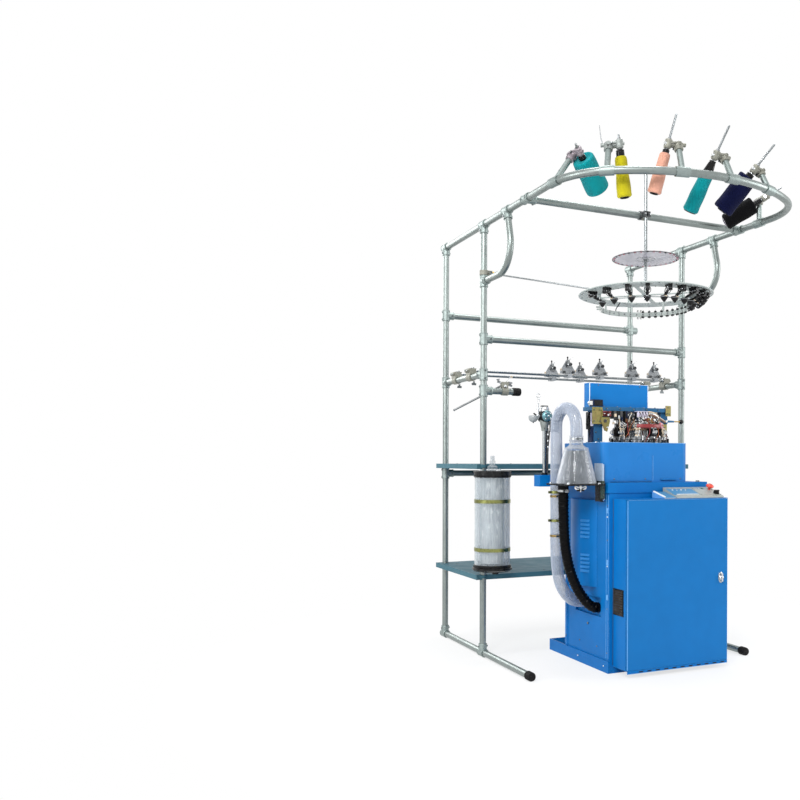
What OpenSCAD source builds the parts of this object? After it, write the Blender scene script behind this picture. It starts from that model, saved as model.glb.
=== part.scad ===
// Circular sock knitting machine with its tubular yarn creel.
// Origin: on the floor, under the axis of the needle cylinder.
// +X is to the operator's right, +Y to the back, +Z up. Sizes in millimetres.

/* [Creel frame] */
// Outside diameter of the creel tubes
tube_d = 34; // [28:1:40]
// Wall thickness of the creel tubes
tube_wall = 2.5; // [1.5:0.5:4]
// Outside diameter of the tube fittings
fitting_d = 43; // [42:1:50]
// Length of a fitting's sleeve along the through tube
sleeve_len = 62; // [50:1:80]
// Clearance between a tube and its fitting
fit_gap = 0.3; // [0.2:0.1:0.5]
// Sideways offset of the creel's middle from the needle axis
creel_x = -55; // [-80:1:-30]
// Width of the creel between post centres
creel_w = 1258; // [1200:2:1320]
// Distance of the front posts behind the needle axis
post_y = 420; // [400:1:450]
// Depth of the creel from the front posts to the back posts
creel_depth = 549; // [500:1:620]
// Height of the top arms' axis
arm_z = 2250; // [2200:5:2320]
// Reach of the floor rails in front of the front posts
rail_reach = 572; // [500:1:620]
// Length of a rubber rail cap
cap_len = 46; // [30:1:60]

/* [Creel ring] */
// Reach of the ring's nose in front of the front posts
nose_reach = 1155; // [1120:1:1200]
// Bend radius of the ring's nose
nose_r = 900; // [860:5:980]
// Bend radius of the ring's two corners
corner_r = 330; // [290:5:350]
// Distance of the crossbar in front of the front posts
crossbar_reach = 501; // [450:1:540]
// Distance of the braces' top ends in front of the front posts
brace_reach = 285; // [260:1:310]
// Height of the braces' lower ends
brace_z = 1955; // [1930:5:1980]
// Bend radius of the braces
brace_r = 130; // [110:1:140]
// Forward lean of the braces' upper stretch in degrees
brace_lean = 15; // [10:1:18]

/* [Creel bars] */
// Height of the bar between the back posts
back_bar_z = 1857; // [1800:1:1900]
// Height of the bar between the front posts
front_bar_z = 1655; // [1610:1:1700]
// Height of the side rails
side_rail_z = 1470; // [1440:1:1500]
// Height of the stub arm on the left front post
stub_z = 1386; // [1360:1:1400]
// Length of the stub arm
stub_len = 208; // [180:1:240]
// Diameter of the thin guide rods
guide_rod_d = 10; // [8:0.5:12]
// Distance between the two rods of a pair
rod_pitch = 30; // [26:1:40]
// Distance of the two rod pairs behind the front posts
pair_y = [170, 380]; // [150:1:400]

/* [Hanging discs] */
// Diameter of the hanging rod
hanger_d = 18; // [14:1:22]
// Height of the hanging rod's top end
hanger_top = 2448; // [2400:1:2500]
// Sideways place of the hanging rod
hanger_x = -36; // [-60:1:0]
// Height of the small guide disc
guide_disc_z = 2027; // [2010:1:2060]
// Diameter of the small guide disc
guide_disc_d = 331; // [316:1:360]
// Height of the feeder disc
feeder_disc_z = 1847; // [1840:1:1880]
// Outside diameter of the feeder disc
feeder_disc_d = 664; // [650:1:690]
// Width of the feeder disc's band
feeder_band = 107; // [97:1:122]
// Diameter of the eyelet ring under the feeder disc
eyelet_ring_d = 459; // [444:1:490]
// Height of the eyelet ring
eyelet_ring_z = 1789; // [1780:1:1795]

/* [Shelves and filter] */
// Height of the upper shelf's top face
upper_shelf_z = 1003; // [980:1:1040]
// Height of the lower shelf's top face
lower_shelf_z = 428; // [400:1:450]
// Height of a shelf's turned down rim
shelf_rim = 26; // [20:1:34]
// Sheet thickness of the shelves
shelf_t = 2.5; // [1.5:0.5:4]
// Diameter of the clear filter bowl
bowl_d = 182; // [160:1:188]
// Height of the filter bowl's base above the floor
filter_z = 461; // [450:1:480]
// Height of the filter over its caps
filter_h = 509; // [470:1:530]

/* [Cabinet] */
// Width of the cabinet
cabinet_w = 610; // [580:1:640]
// Sideways place of the cabinet's left side
cabinet_left = -280; // [-300:1:-270]
// Distance of the cabinet's front face in front of the needle axis
cabinet_front = 177; // [170:1:185]
// Depth of the cabinet
cabinet_depth = 437; // [420:1:460]
// Height of the cabinet's top face
cabinet_top = 867; // [850:1:880]
// Height of the base plate's flange
base_h = 58; // [40:1:70]
// Depth of the electrical box in front of the cabinet
box_depth = 128; // [115:1:140]
// Height of the electrical box's top face
box_top = 842; // [820:1:850]
// Height of the electrical box's bottom face
box_bottom = 34; // [25:1:45]
// Sheet thickness of the electrical box
box_t = 2.5; // [2:0.5:4]
// Depth of the front door's pan
door_pan = 12; // [10:0.5:14]
// Gap between the door and the box
door_gap = 4; // [4:0.5:6]
// Diameter of the door's hinge pins
hinge_d = 6; // [5:0.5:7]
// Running clearance of pins and shafts, radial
run_gap = 0.05; // [0.02:0.01:0.09]
// Diameter of the door lock's barrel
lock_d = 24; // [18:1:28]

/* [Bed and casing] */
// Thickness of the bed plate
bed_t = 51; // [40:1:60]
// Width of the upper casing
casing_w = 500; // [480:1:520]
// Sideways place of the casing's left side
casing_left = -300; // [-310:1:-290]
// Distance of the casing's front face in front of the needle axis
casing_front = 150; // [146:1:156]
// Depth of the upper casing
casing_depth = 415; // [400:1:440]
// Height of the upper casing
casing_h = 194; // [180:1:210]
// Radius of the casing's corners
casing_r = 34; // [20:1:45]
// Sheet thickness of the casing
casing_t = 3; // [2:0.5:4]

/* [Knitting head] */
// Outside diameter of the needle cylinder
cylinder_d = 108; // [100:1:112]
// Bore of the needle cylinder
cylinder_bore = 90; // [80:1:92]
// Height of the needle cylinder's top
cylinder_top = 1200; // [1190:1:1205]
// Number of needles
needle_count = 84; // [60:12:96]
// Outside diameter of the cam ring
cam_d = 256; // [250:1:258]
// Diameter of the dial
dial_d = 96; // [80:1:98]
// Diameter of the dial's shaft
dial_shaft_d = 20; // [16:1:24]
// Height of the head plate's top face
head_z = 1294; // [1290:1:1300]
// Thickness of the head plate
head_t = 20; // [16:1:24]
// Height of the head cover
head_cover_h = 120; // [100:1:130]
// Length of the hand lever from its pivot to the ball
lever_len = 122; // [95:1:130]

/* [Hoses and stand] */
// Outside diameter of the clear hose
clear_hose_d = 60; // [50:1:60]
// Outside diameter of the black spiral hose
black_hose_d = 54; // [46:1:54]
// Diameter of the clear funnel's foot
funnel_d = 198; // [180:1:204]
// Height of the clear funnel
funnel_h = 231; // [215:1:240]
// Wall thickness of the funnel
funnel_t = 3; // [2:0.5:4]
// Diameter of the stand rod
stand_d = 20; // [16:1:24]
// Height of the stand rod's top end
stand_top = 1205; // [1180:1:1230]

/* [Hidden] */
$fn = 64;

galvanised = "#9aa5a6";
blue = "#2373c4";
steel = "#c8ccd0";
black = "#1c1c1e";
brass = "#b79a4a";
cast = "#a8a493";
shelf_teal = "#4a7d86";

// Creel: places of the posts, rails and fittings
fitting_bore = tube_d + 2 * fit_gap;
left_x = creel_x - creel_w / 2;
right_x = creel_x + creel_w / 2;
back_y = post_y + creel_depth;
rail_z = fitting_d / 2;
socket_len = 46;
tube_stop = tube_d / 2 + fit_gap;
sides = [left_x, right_x];
shelf_bar_z = upper_shelf_z - 56;
crossbar_y = post_y - crossbar_reach;
brace_y = post_y - brace_reach;

// Creel ring: one nose arc and two corner arcs, tangent to each other and to the arms
nose_y = post_y - nose_reach;
nose_cy = nose_y + nose_r;
corner_dx = creel_w / 2 - corner_r;
corner_angle = asin(corner_dx / (nose_r - corner_r));
corner_cy = nose_cy - (nose_r - corner_r) * cos(corner_angle);

// Centre of the arc that the ring follows where its outward normal points to angle a
// (0 is the front, negative to the left), and that arc's radius
function ring_centre(a) = abs(a) <= corner_angle ? [creel_x, nose_cy]
    : [creel_x + sign(a) * corner_dx, corner_cy];
function ring_radius(a) = abs(a) <= corner_angle ? nose_r : corner_r;
function ring_normal(a) = [sin(a), -cos(a), 0];
function ring_point(a, back) = let (c = ring_centre(a), r = ring_radius(a))
    [c.x + r * sin(a), c.y - r * cos(a) + back, arm_z];

// Cone holders: ring angle, distance back along the arm, clamp's inward and upward offset,
// side of the cone, azimuth and dip of the cone, shaft length above the clamp
holders = [
    [-84, 0, 100, 140, 1, 30, 36, 20],
    [-37, 0, 66, 132, 1, 20, 80, 20],
    [-13, 0, 48, 132, -1, 120, 72, 105],
    [3, 0, 56, 112, -1, 103, 56, 110],
    [19, 0, 44, 92, -1, 122, 47, 110],
    [90, 81, 0, 120, -1, 140, 30, 70]];
// Yarn packages: radius at the top, radius at the foot, length, bare length of core above,
// radius of the core at its top and at its foot
packages = [
    [50, 54, 178, 14, 16, 22],
    [25, 32, 176, 26, 18, 20],
    [23, 31, 176, 14, 15, 19],
    [31, 36, 170, 66, 15, 29],
    [46, 48, 186, 16, 18, 24],
    [45, 42, 166, 42, 14, 26]];
package_colors = ["#16a6a8", "#d8cf2a", "#eeb09a", "#16a6a8", "#171c44", "#111214"];
shaft_d = 10;
stub_d = 26;
clamp_offset = 46;
clamp_d = 40;
core_wall = 3;

function holder_foot(h) = ring_point(h[0], h[1]);
function holder_inward(h) = -ring_normal(h[0]);
function holder_head(h) = holder_foot(h) + holder_inward(h) * h[2] + [0, 0, h[3]];
function holder_side(h) = h[4] * [cos(h[0]), sin(h[0]), 0];
function cone_axis(h) = [cos(h[5]) * cos(h[6]), sin(h[5]) * cos(h[6]), -sin(h[6])];
function cone_top(h) = holder_head(h) + holder_side(h) * clamp_offset + cone_axis(h) * clamp_d * 0.62;

// Discs on the hanging rod, which stands just in front of the crossbar
hanger_y = crossbar_y - tube_d / 2 - hanger_d / 2 - 2;
disc_t = 4;
hub_d = 36;
hub_h = 26;
hub_drop = 2;
spoke_w = 20;
unit_r = feeder_disc_d / 2 - 52;
strip_w = 24;
strip_t = 3;

// Machine: places worked out from the cabinet and the bed
cabinet_right = cabinet_left + cabinet_w;
cabinet_back = -cabinet_front + cabinet_depth;
bed_top = cabinet_top + bed_t;
box_left = cabinet_left + 19;
box_right = cabinet_right - 5;
box_front = -cabinet_front - box_depth;
door_back = box_front + door_pan;
wall_front = door_back + door_gap;
hinge_x = box_left + hinge_d;
hinge_y = box_front + hinge_d / 2 + 2;
lock_x = box_right - 42;
lock_z = (box_top + box_bottom) / 2 + 10;
casing_top = bed_top + casing_h;
casing_hole_d = cam_d + 8;
casing_right = casing_left + casing_w;
journal_d = cylinder_d - 8;
cam_top = casing_top + 26;
duct_y = 72;
duct_top = 830;
recess_y = [-96, 152];
recess_z = [258, 352];
recess_depth = 16;
recess_x = cabinet_left + recess_depth - fit_gap;

// Filter in front of the left front post
filter_x = left_x;
filter_y = post_y - tube_d / 2 - bowl_d / 2 - 10;
filter_cap_h = 34;
bowl_r = bowl_d / 2;

// Hose stand, funnel and plate beside the cabinet
funnel_x = -408;
funnel_y = -74;
plate_t = 8;
plate_top = 912;
neck_bore = clear_hose_d + 2 * fit_gap;
stand_x = -455;
stand_y = 170;
arm_h = 58;
arm_top = 950;

// Routes of the two hoses, chosen by hand
clear_route = [[-408, -74, 1111], [-408, -74, 1180], [-409, -68, 1222], [-413, -50, 1256],
    [-420, -22, 1277], [-427, 10, 1279], [-434, 40, 1263], [-439, 60, 1234], [-441, 68, 1194],
    [-441, 68, 1060], [-441, 68, 940], [-441, 68, 820], [-441, 68, 700], [-440, 69, 610],
    [-436, 71, 530], [-427, 75, 466], [-411, 80, 412], [-387, 86, 370], [-356, 92, 338],
    [-322, 99, 316], [-290, 104, 308], [recess_x, 104, 308]];
black_route = [[-456, -32, 904], [-456, -32, 860], [-455, -32, 790], [-452, -31, 710],
    [-446, -30, 630], [-435, -30, 560], [-419, -30, 496], [-399, -32, 440], [-375, -36, 390],
    [-348, -41, 350], [-320, -46, 318], [-291, -50, 300], [recess_x, -50, 300]];
// A direction that neither hose follows
hose_ref = [0.35, -0.94, 0];

// Shape helpers
module aim(p, dir) {
    translate(p)
        rotate([0, acos(dir.z / norm(dir)), atan2(dir.y, dir.x)])
            children();
}

module bar(a, b, d) {
    aim(a, b - a)
        cylinder(h = norm(b - a), d = d);
}

module pipe(a, b, d = tube_d, wall = tube_wall) {
    aim(a, b - a)
        difference() {
            cylinder(h = norm(b - a), d = d);
            translate([0, 0, -1])
                cylinder(h = norm(b - a) + 2, d = d - 2 * wall);
        }
}

module box(low, high) {
    translate(low)
        cube(high - low);
}

// Upright plate with rounded vertical edges
module rounded_box(low, high, r) {
    box([low.x + r, low.y, low.z], [high.x - r, high.y, high.z]);
    box([low.x, low.y + r, low.z], [high.x, high.y - r, high.z]);
    for (x = [low.x + r, high.x - r], y = [low.y + r, high.y - r])
        translate([x, y, low.z])
            cylinder(h = high.z - low.z, r = r);
}

module ring(outer, inner, h) {
    difference() {
        cylinder(h = h, d = outer);
        translate([0, 0, -1])
            cylinder(h = h + 2, d = inner);
    }
}

// Sweep along a route: a ring of n points round each route point, square to the path there.
// The reference direction is one that the path never follows.
function route_dir(r, i) =
    let (a = r[max(i - 1, 0)], b = r[min(i + 1, len(r) - 1)]) (b - a) / norm(b - a);
function route_ring(r, i, d, n, ref) =
    let (t = route_dir(r, i), c = cross(t, ref), u = c / norm(c), v = cross(t, u))
    [for (k = [0 : n - 1]) r[i] + d / 2 * (cos(k * 360 / n) * u + sin(k * 360 / n) * v)];
function route_wall(rings, n, start, inside) = [for (i = [0 : rings - 2], k = [0 : n - 1])
    let (a = start + i * n + k, b = start + i * n + (k + 1) % n)
    inside ? [a, b, b + n, a + n] : [a, a + n, b + n, b]];

module route_rod(r, d, n, ref) {
    points = [for (i = [0 : len(r) - 1]) each route_ring(r, i, d, n, ref)];
    foot = [for (k = [0 : n - 1]) k];
    head = [for (k = [n - 1 : -1 : 0]) (len(r) - 1) * n + k];
    polyhedron(points, concat([foot], route_wall(len(r), n, 0, false), [head]), convexity = 6);
}

module route_pipe(r, d, wall, n, ref) {
    m = len(r) * n;
    outer = [for (i = [0 : len(r) - 1]) each route_ring(r, i, d, n, ref)];
    inner = [for (i = [0 : len(r) - 1]) each route_ring(r, i, d - 2 * wall, n, ref)];
    foot = [for (k = [0 : n - 1]) [k, (k + 1) % n, m + (k + 1) % n, m + k]];
    head = [for (k = [0 : n - 1]) [m - n + k, 2 * m - n + k, 2 * m - n + (k + 1) % n, m - n + (k + 1) % n]];
    polyhedron(concat(outer, inner), concat(route_wall(len(r), n, 0, false), route_wall(len(r), n, m, true),
        foot, head), convexity = 8);
}

// Tube fitting: a sleeve round a through tube and a socket for a branch, with one screw hole;
// a cross fitting has a second socket that reaches `far` the other way
screw_d = 9;
screw_inset = 14;
screw_head = 5;
module tee(p, run, branch, far) {
    difference() {
        union() {
            bar(p - run * sleeve_len / 2, p + run * sleeve_len / 2, fitting_d);
            bar(p - branch * far, p + branch * socket_len, fitting_d);
        }
        bar(p - run * sleeve_len, p + run * sleeve_len, fitting_bore);
        bar(p - branch * (far + (far > 0 ? 1 : 0)), p + branch * (socket_len + 1), fitting_bore);
        screw(p, run, branch, screw_d + 2 * fit_gap, 1);
    }
}

// Set screw on a fitting's socket, square to the run and the branch
module screw(p, run, branch, d, extra) {
    out = cross(run, branch) / norm(cross(run, branch));
    foot = p + branch * (socket_len - screw_inset) + out * (tube_d / 2 + fit_gap - extra);
    bar(foot, foot + out * ((fitting_d - tube_d) / 2 + screw_head + extra), d);
}

// Every fitting on the creel: place, run and branch
ex = [1, 0, 0];
ey = [0, 1, 0];
ez = [0, 0, 1];
lean_dir = [0, -sin(brace_lean), -cos(brace_lean)];
fittings = concat(
    [for (x = sides, y = [post_y, back_y]) [[x, y, rail_z], ey, ez]],
    [for (x = sides, y = [post_y, back_y]) [[x, y, arm_z], ey, -ez]],
    [for (x = sides) [[x, brace_y, arm_z], ey, lean_dir]],
    [for (x = sides) [[x, crossbar_y, arm_z], ey, ex * (x < creel_x ? 1 : -1)]],
    [for (x = sides) [[x, back_y, back_bar_z], ez, ex * (x < creel_x ? 1 : -1)]],
    [for (x = sides) [[x, post_y, front_bar_z], ez, ex * (x < creel_x ? 1 : -1)]],
    [for (x = sides) [[x, post_y, side_rail_z], ez, ey]],
    [for (x = sides) [[x, back_y, side_rail_z], ez, -ey]],
    [for (x = sides) [[x, post_y, brace_z], ez, -ey]],
    [for (x = sides) [[x, back_y, shelf_bar_z], ez, ex * (x < creel_x ? 1 : -1)]],
    [[[left_x, post_y, stub_z], ez, ex]]);

module floor_rails() color(galvanised) {
    for (x = sides)
        pipe([x, back_y + sleeve_len / 2, rail_z], [x, post_y - rail_reach, rail_z]);
}

module rubber_caps() color(black) {
    for (x = sides)
        end_cap([x, post_y - rail_reach, rail_z], -ey);
    end_cap([left_x + stub_len, post_y, stub_z], ex);
    plug([right_x, back_y, back_bar_z], ex);
}

// Plug with a head for an unused socket
module plug(p, dir) {
    bar(p + dir * tube_stop, p + dir * (socket_len + 1), tube_d);
    bar(p + dir * (socket_len + fit_gap), p + dir * (socket_len + 6), tube_d + 5);
}

// Ribbed rubber cap that slips over a tube's end
cap_end = 4;
module end_cap(p, dir) {
    aim(p - dir * (cap_len - cap_end), dir)
        difference() {
            union() {
                cylinder(h = cap_len, d = (fitting_d + fitting_bore) / 2);
                for (k = [0 : 2])
                    translate([0, 0, cap_len * (0.15 + 0.3 * k)])
                        cylinder(h = cap_len * 0.16, d = fitting_d);
            }
            translate([0, 0, -1])
                cylinder(h = cap_len - cap_end + 1, d = fitting_bore);
        }
}

module post(x, y) {
    pipe([x, y, rail_z + tube_stop], [x, y, arm_z - tube_stop]);
}

module front_posts() color(galvanised) {
    for (x = sides)
        post(x, post_y);
}

module back_posts() color(galvanised) {
    for (x = sides)
        post(x, back_y);
}

// Stretch of solid rod along the ring, from normal angle a0 to a1 on one of its arcs
module ring_arc(a0, a1, d) {
    c = ring_centre((a0 + a1) / 2);
    translate([c.x, c.y, arm_z])
        rotate([0, 0, a0 - 90])
            rotate_extrude(angle = a1 - a0, $fn = 96)
                translate([ring_radius((a0 + a1) / 2), 0])
                    circle(d = d, $fn = 48);
}

// The ring and its two arms are one bent tube
bend_sides = 16;
nose_steps = 24;
corner_steps = 14;
corner_sweep = 90 - corner_angle;
ring_angles = concat(
    [for (i = [0 : corner_steps - 1]) -90 + corner_sweep * i / corner_steps],
    [for (i = [0 : nose_steps]) -corner_angle + 2 * corner_angle * i / nose_steps],
    [for (i = [1 : corner_steps]) corner_angle + corner_sweep * i / corner_steps]);
module creel_ring() color(galvanised) {
    arm_end = back_y + sleeve_len / 2 - corner_cy;
    left_arm = [ring_point(-90, arm_end), ring_point(-90, 20)];
    right_arm = [ring_point(90, 20), ring_point(90, arm_end)];
    route_pipe(concat(left_arm, [for (a = ring_angles) ring_point(a, 0)], right_arm),
        tube_d, tube_wall, bend_sides, ez);
}

// One brace: leaning stretch, bend, and a level stretch to the front post
brace_steps = 12;
module brace(x) {
    bend_z = brace_z + brace_r * (1 + sin(brace_lean));
    bend_y = brace_y - tan(brace_lean) * (arm_z - bend_z);
    centre = [x, bend_y + brace_r * cos(brace_lean), brace_z + brace_r];
    top = [x, brace_y, arm_z] + lean_dir * (tube_stop + tube_d / 2 * sin(brace_lean)) / cos(brace_lean);
    bend = [for (i = [0 : brace_steps]) let (a = 180 - brace_lean + (90 + brace_lean) * i / brace_steps)
        centre + brace_r * [0, cos(a), sin(a)]];
    route_pipe(concat([top, bend[0] - lean_dir * 8], bend,
        [[x, centre.y + 8, brace_z], [x, post_y - tube_stop, brace_z]]), tube_d, tube_wall, bend_sides, ex);
}

module curved_braces() color(galvanised) {
    for (x = sides)
        brace(x);
}

module level_bar(y, z) {
    pipe([left_x + tube_stop, y, z], [right_x - tube_stop, y, z]);
}

// Crossbar, two level bars, the bar under the upper shelf and the stub arm
module cross_bars() color(galvanised) {
    level_bar(crossbar_y, arm_z);
    level_bar(back_y, back_bar_z);
    level_bar(post_y, front_bar_z);
    level_bar(back_y, shelf_bar_z);
    pipe([left_x + tube_stop, post_y, stub_z], [left_x + stub_len, post_y, stub_z]);
}

module side_rails() color(galvanised) {
    for (x = sides)
        pipe([x, post_y + tube_stop, side_rail_z], [x, back_y - tube_stop, side_rail_z]);
}

module pipe_tees() color("#aab3b4") {
    for (f = fittings)
        tee(f[0], f[1], f[2], f[0] == [right_x, back_y, back_bar_z] ? socket_len : 0);
}

module set_screws() color("#5d6366") {
    for (f = fittings)
        screw(f[0], f[1], f[2], screw_d, 0);
}

// Guide rods run from one side rail to the other, two on each pair of blocks
rod_z = side_rail_z + tube_d / 2 + guide_rod_d / 2 + 12;
block_w = 40;
block_l = rod_pitch + 24;
rod_overhang = 34;
tie_z = brace_z + sleeve_len / 2 + 13;
tie_d = 8;
module guide_rods() color(steel) {
    for (p = pair_y, s = [-1, 1])
        bar([left_x - rod_overhang, post_y + p + s * rod_pitch / 2, rod_z],
            [right_x + rod_overhang, post_y + p + s * rod_pitch / 2, rod_z], guide_rod_d);
    bar(tie_foot, tie_end, tie_d);
}

// The tie rod reaches from the left front post to the feeder disc's rim
tie_foot = [left_x + tube_d / 2 + 4, post_y - 6, tie_z];
tie_end = [hanger_x - feeder_disc_d / 2 + 22, hanger_y + 12, feeder_disc_z + disc_t + tie_d / 2 + fit_gap];

module rod_block(x, y) {
    difference() {
        union() {
            box([x - block_w / 2, y - block_l / 2, side_rail_z],
                [x + block_w / 2, y + block_l / 2, rod_z + guide_rod_d / 2 + 7]);
            bar([x, y - block_l / 2, side_rail_z], [x, y + block_l / 2, side_rail_z], fitting_d);
        }
        bar([x, y - block_l, side_rail_z], [x, y + block_l, side_rail_z], fitting_bore);
        for (s = [-1, 1])
            bar([x - block_w, y + s * rod_pitch / 2, rod_z], [x + block_w, y + s * rod_pitch / 2, rod_z],
                guide_rod_d + 2 * fit_gap);
    }
}

// Blocks on the side rails, the hanging rod's clamp and the tie rod's collar
module rod_blocks() color(cast) {
    for (x = sides, p = pair_y)
        rod_block(x, post_y + p);
    difference() {
        union() {
            box([hanger_x - hanger_d, hanger_y - hanger_d / 4, arm_z - 13],
                [hanger_x + hanger_d, crossbar_y, arm_z + 13]);
            bar([hanger_x - hanger_d, crossbar_y, arm_z], [hanger_x + hanger_d, crossbar_y, arm_z], fitting_d);
        }
        bar([hanger_x - 40, crossbar_y, arm_z], [hanger_x + 40, crossbar_y, arm_z], fitting_bore);
        bar([hanger_x, hanger_y, arm_z - 40], [hanger_x, hanger_y, arm_z + 40], hanger_d + 2 * fit_gap);
    }
    difference() {
        union() {
            translate([left_x, post_y, tie_z - 11])
                ring(fitting_d + 2, fitting_bore, 22);
            box([left_x + tube_d / 2 + 2, post_y - 18, tie_z - 11], [left_x + 42, post_y + 8, tie_z + 11]);
        }
        translate([left_x, post_y, tie_z - 20])
            cylinder(h = 40, d = fitting_bore);
        bar(tie_foot - (tie_end - tie_foot) * fit_gap / norm(tie_end - tie_foot), tie_end,
            tie_d + 2 * fit_gap);
    }
}

// Triangular plates on the guide rods: X place and pair; the last of the front pair stands beside
// the right block
plate_h = 74;
eye_h = plate_h - 22;
plate_w = 104;
plate_clear = 2;
plate_end = right_x - (block_w + plate_w) / 2 - plate_clear;
plate_places = [[creel_x - creel_w * 0.026, 0], [creel_x + creel_w * 0.142, 0],
    [creel_x + creel_w * 0.317, 0], [plate_end, 0],
    [creel_x - creel_w * 0.019, 1], [creel_x + creel_w * 0.132, 1]];
plate_foot = 26;
plate_thick = 3;
post_d = 8;
module tension_plate(x, y) {
    foot_top = rod_z + guide_rod_d / 2 + 6;
    difference() {
        box([x - plate_foot / 2, y - rod_pitch / 2 - 12, rod_z - guide_rod_d / 2 - 6],
            [x + plate_foot / 2, y + rod_pitch / 2 + 12, foot_top]);
        for (s = [-1, 1])
            translate([x, y + s * rod_pitch / 2, rod_z])
                bar(-ex * plate_foot, ex * plate_foot, guide_rod_d + 2 * fit_gap);
    }
    difference() {
        translate([x, y + plate_thick / 2, foot_top])
            rotate([90, 0, 0])
                linear_extrude(plate_thick)
                    polygon([[-plate_w / 2, 0], [plate_w / 2, 0], [plate_w / 2, 6], [8, plate_h],
                        [-14, plate_h], [-plate_w / 2, 16]]);
        bar([x, y - 9, foot_top + eye_h], [x, y + 9, foot_top + eye_h], post_d + 2 * fit_gap);
    }
}

module tension_plates() color("#b9bcb4") {
    for (q = plate_places)
        tension_plate(q.x, post_y + pair_y[q.y]);
}

// Two pressed discs and a spring cap on each side of a plate
module tensioner(x, y, z) {
    bar([x, y - 34, z], [x, y + 26, z], post_d);
    for (s = [-1, 1])
        translate([x, y + s * (plate_thick / 2 + fit_gap), z])
            rotate([-90 * s, 0, 0])
                tension_disc();
    translate([x, y - 34, z])
        rotate([-90, 0, 0])
            cylinder(h = 12, d = 17);
}

module tension_disc() {
    rotate_extrude($fn = 48)
        polygon([[3, 0], [17, 0], [17, 2], [8, 5], [8, 9], [3, 9]]);
}

module yarn_tensioners() color("#77797a") {
    for (q = plate_places)
        tensioner(q.x, post_y + pair_y[q.y], rod_z + guide_rod_d / 2 + 6 + eye_h);
    stub_tensioner();
}

// Clamp with two posts and a disc pair, on top of the stub arm
module stub_tensioner() {
    x = left_x + stub_len - 88;
    difference() {
        union() {
            bar([x - 17, post_y, stub_z], [x + 17, post_y, stub_z], fitting_d);
            box([x - 17, post_y - 12, stub_z], [x + 17, post_y + 12, stub_z + 36]);
            bar([x - 40, post_y, stub_z + 50], [x + 44, post_y, stub_z + 30], 10);
            bar([x + 30, post_y, stub_z + 33], [x + 36, post_y, stub_z + 58], 14);
            bar([x - 32, post_y, stub_z + 48], [x - 36, post_y, stub_z + 66], 14);
        }
        bar([x - 40, post_y, stub_z], [x + 40, post_y, stub_z], fitting_bore);
    }
}

module hanger_rod() color(steel) {
    bar([hanger_x, hanger_y, feeder_disc_z - 16], [hanger_x, hanger_y, hanger_top], hanger_d);
}

module hub(z) {
    translate([hanger_x, hanger_y, z - hub_drop])
        cylinder(h = hub_h, d = hub_d);
}

module hub_bore(z) {
    translate([hanger_x, hanger_y, z - 60])
        cylinder(h = 140, d = hanger_d + 2 * fit_gap);
}

// Small perforated disc: a hub, a web with three rows of holes and a rim with eyelet holes
guide_holes = 24;
module guide_disc() color("#d6d3d2") {
    difference() {
        union() {
            hub(guide_disc_z);
            translate([hanger_x, hanger_y, guide_disc_z])
                cylinder(h = disc_t, d = guide_disc_d, $fn = 96);
        }
        hub_bore(guide_disc_z);
        translate([hanger_x, hanger_y, guide_disc_z - 1])
            for (k = [0 : guide_holes - 1])
                rotate([0, 0, k * 360 / guide_holes])
                    translate([guide_disc_d / 2 - 12, 0, 0])
                        cylinder(h = disc_t + 2, d = 10, $fn = 24);
    }
}

// Annular disc on four spokes
module feeder_disc() color("#dcdedd") {
    difference() {
        union() {
            hub(feeder_disc_z);
            translate([hanger_x, hanger_y, feeder_disc_z])
                ring(feeder_disc_d, feeder_disc_d - 2 * feeder_band, disc_t, $fn = 128);
            translate([hanger_x, hanger_y, feeder_disc_z])
                for (a = [45 : 90 : 315])
                    rotate([0, 0, a])
                        box([hub_d / 2 - 3, -spoke_w / 2, 0],
                            [feeder_disc_d / 2 - feeder_band + 6, spoke_w / 2, disc_t]);
        }
        hub_bore(feeder_disc_z);
    }
}

// Yarn feeder unit under the disc: body, neck that leans inwards, and a tapered wheel
unit_angles = [174, -163, -140, -122, -102, -88, -72, -57, -40, -22];
wheel_x = -45;
wheel_top = -44;
wheel_h = 27;
wheel_d = 40;
neck_d = 10;
module feeder_unit() {
    box([-14, -10, -30], [30, 10, 0]);
    bar([-6, 0, -24], [wheel_x, 0, wheel_top - 4], neck_d);
    translate([wheel_x, 0, wheel_top - 4])
        cylinder(h = 4, d = wheel_d);
    translate([wheel_x, 0, wheel_top - wheel_h])
        cylinder(h = wheel_h - 3, d1 = wheel_d * 0.35, d2 = wheel_d * 0.85);
}

// The thin rod that closes the eyelet ring at the front runs through the wheels
closing_d = 5;
module closing_rod(d, a0, a1) {
    translate([hanger_x, hanger_y, eyelet_ring_z + (strip_w - closing_d) / 2])
        rotate([0, 0, a0])
            rotate_extrude(angle = a1 - a0, $fn = 96)
                translate([(eyelet_ring_d - strip_t) / 2, 0])
                    circle(d = d, $fn = 16);
}

module feeder_units() color(black) {
    difference() {
        translate([hanger_x, hanger_y, feeder_disc_z])
            for (a = unit_angles)
                rotate([0, 0, a])
                    translate([unit_r, 0, 0])
                        feeder_unit();
        closing_rod(closing_d + 2 * fit_gap, 0, 360);
    }
}

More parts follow.
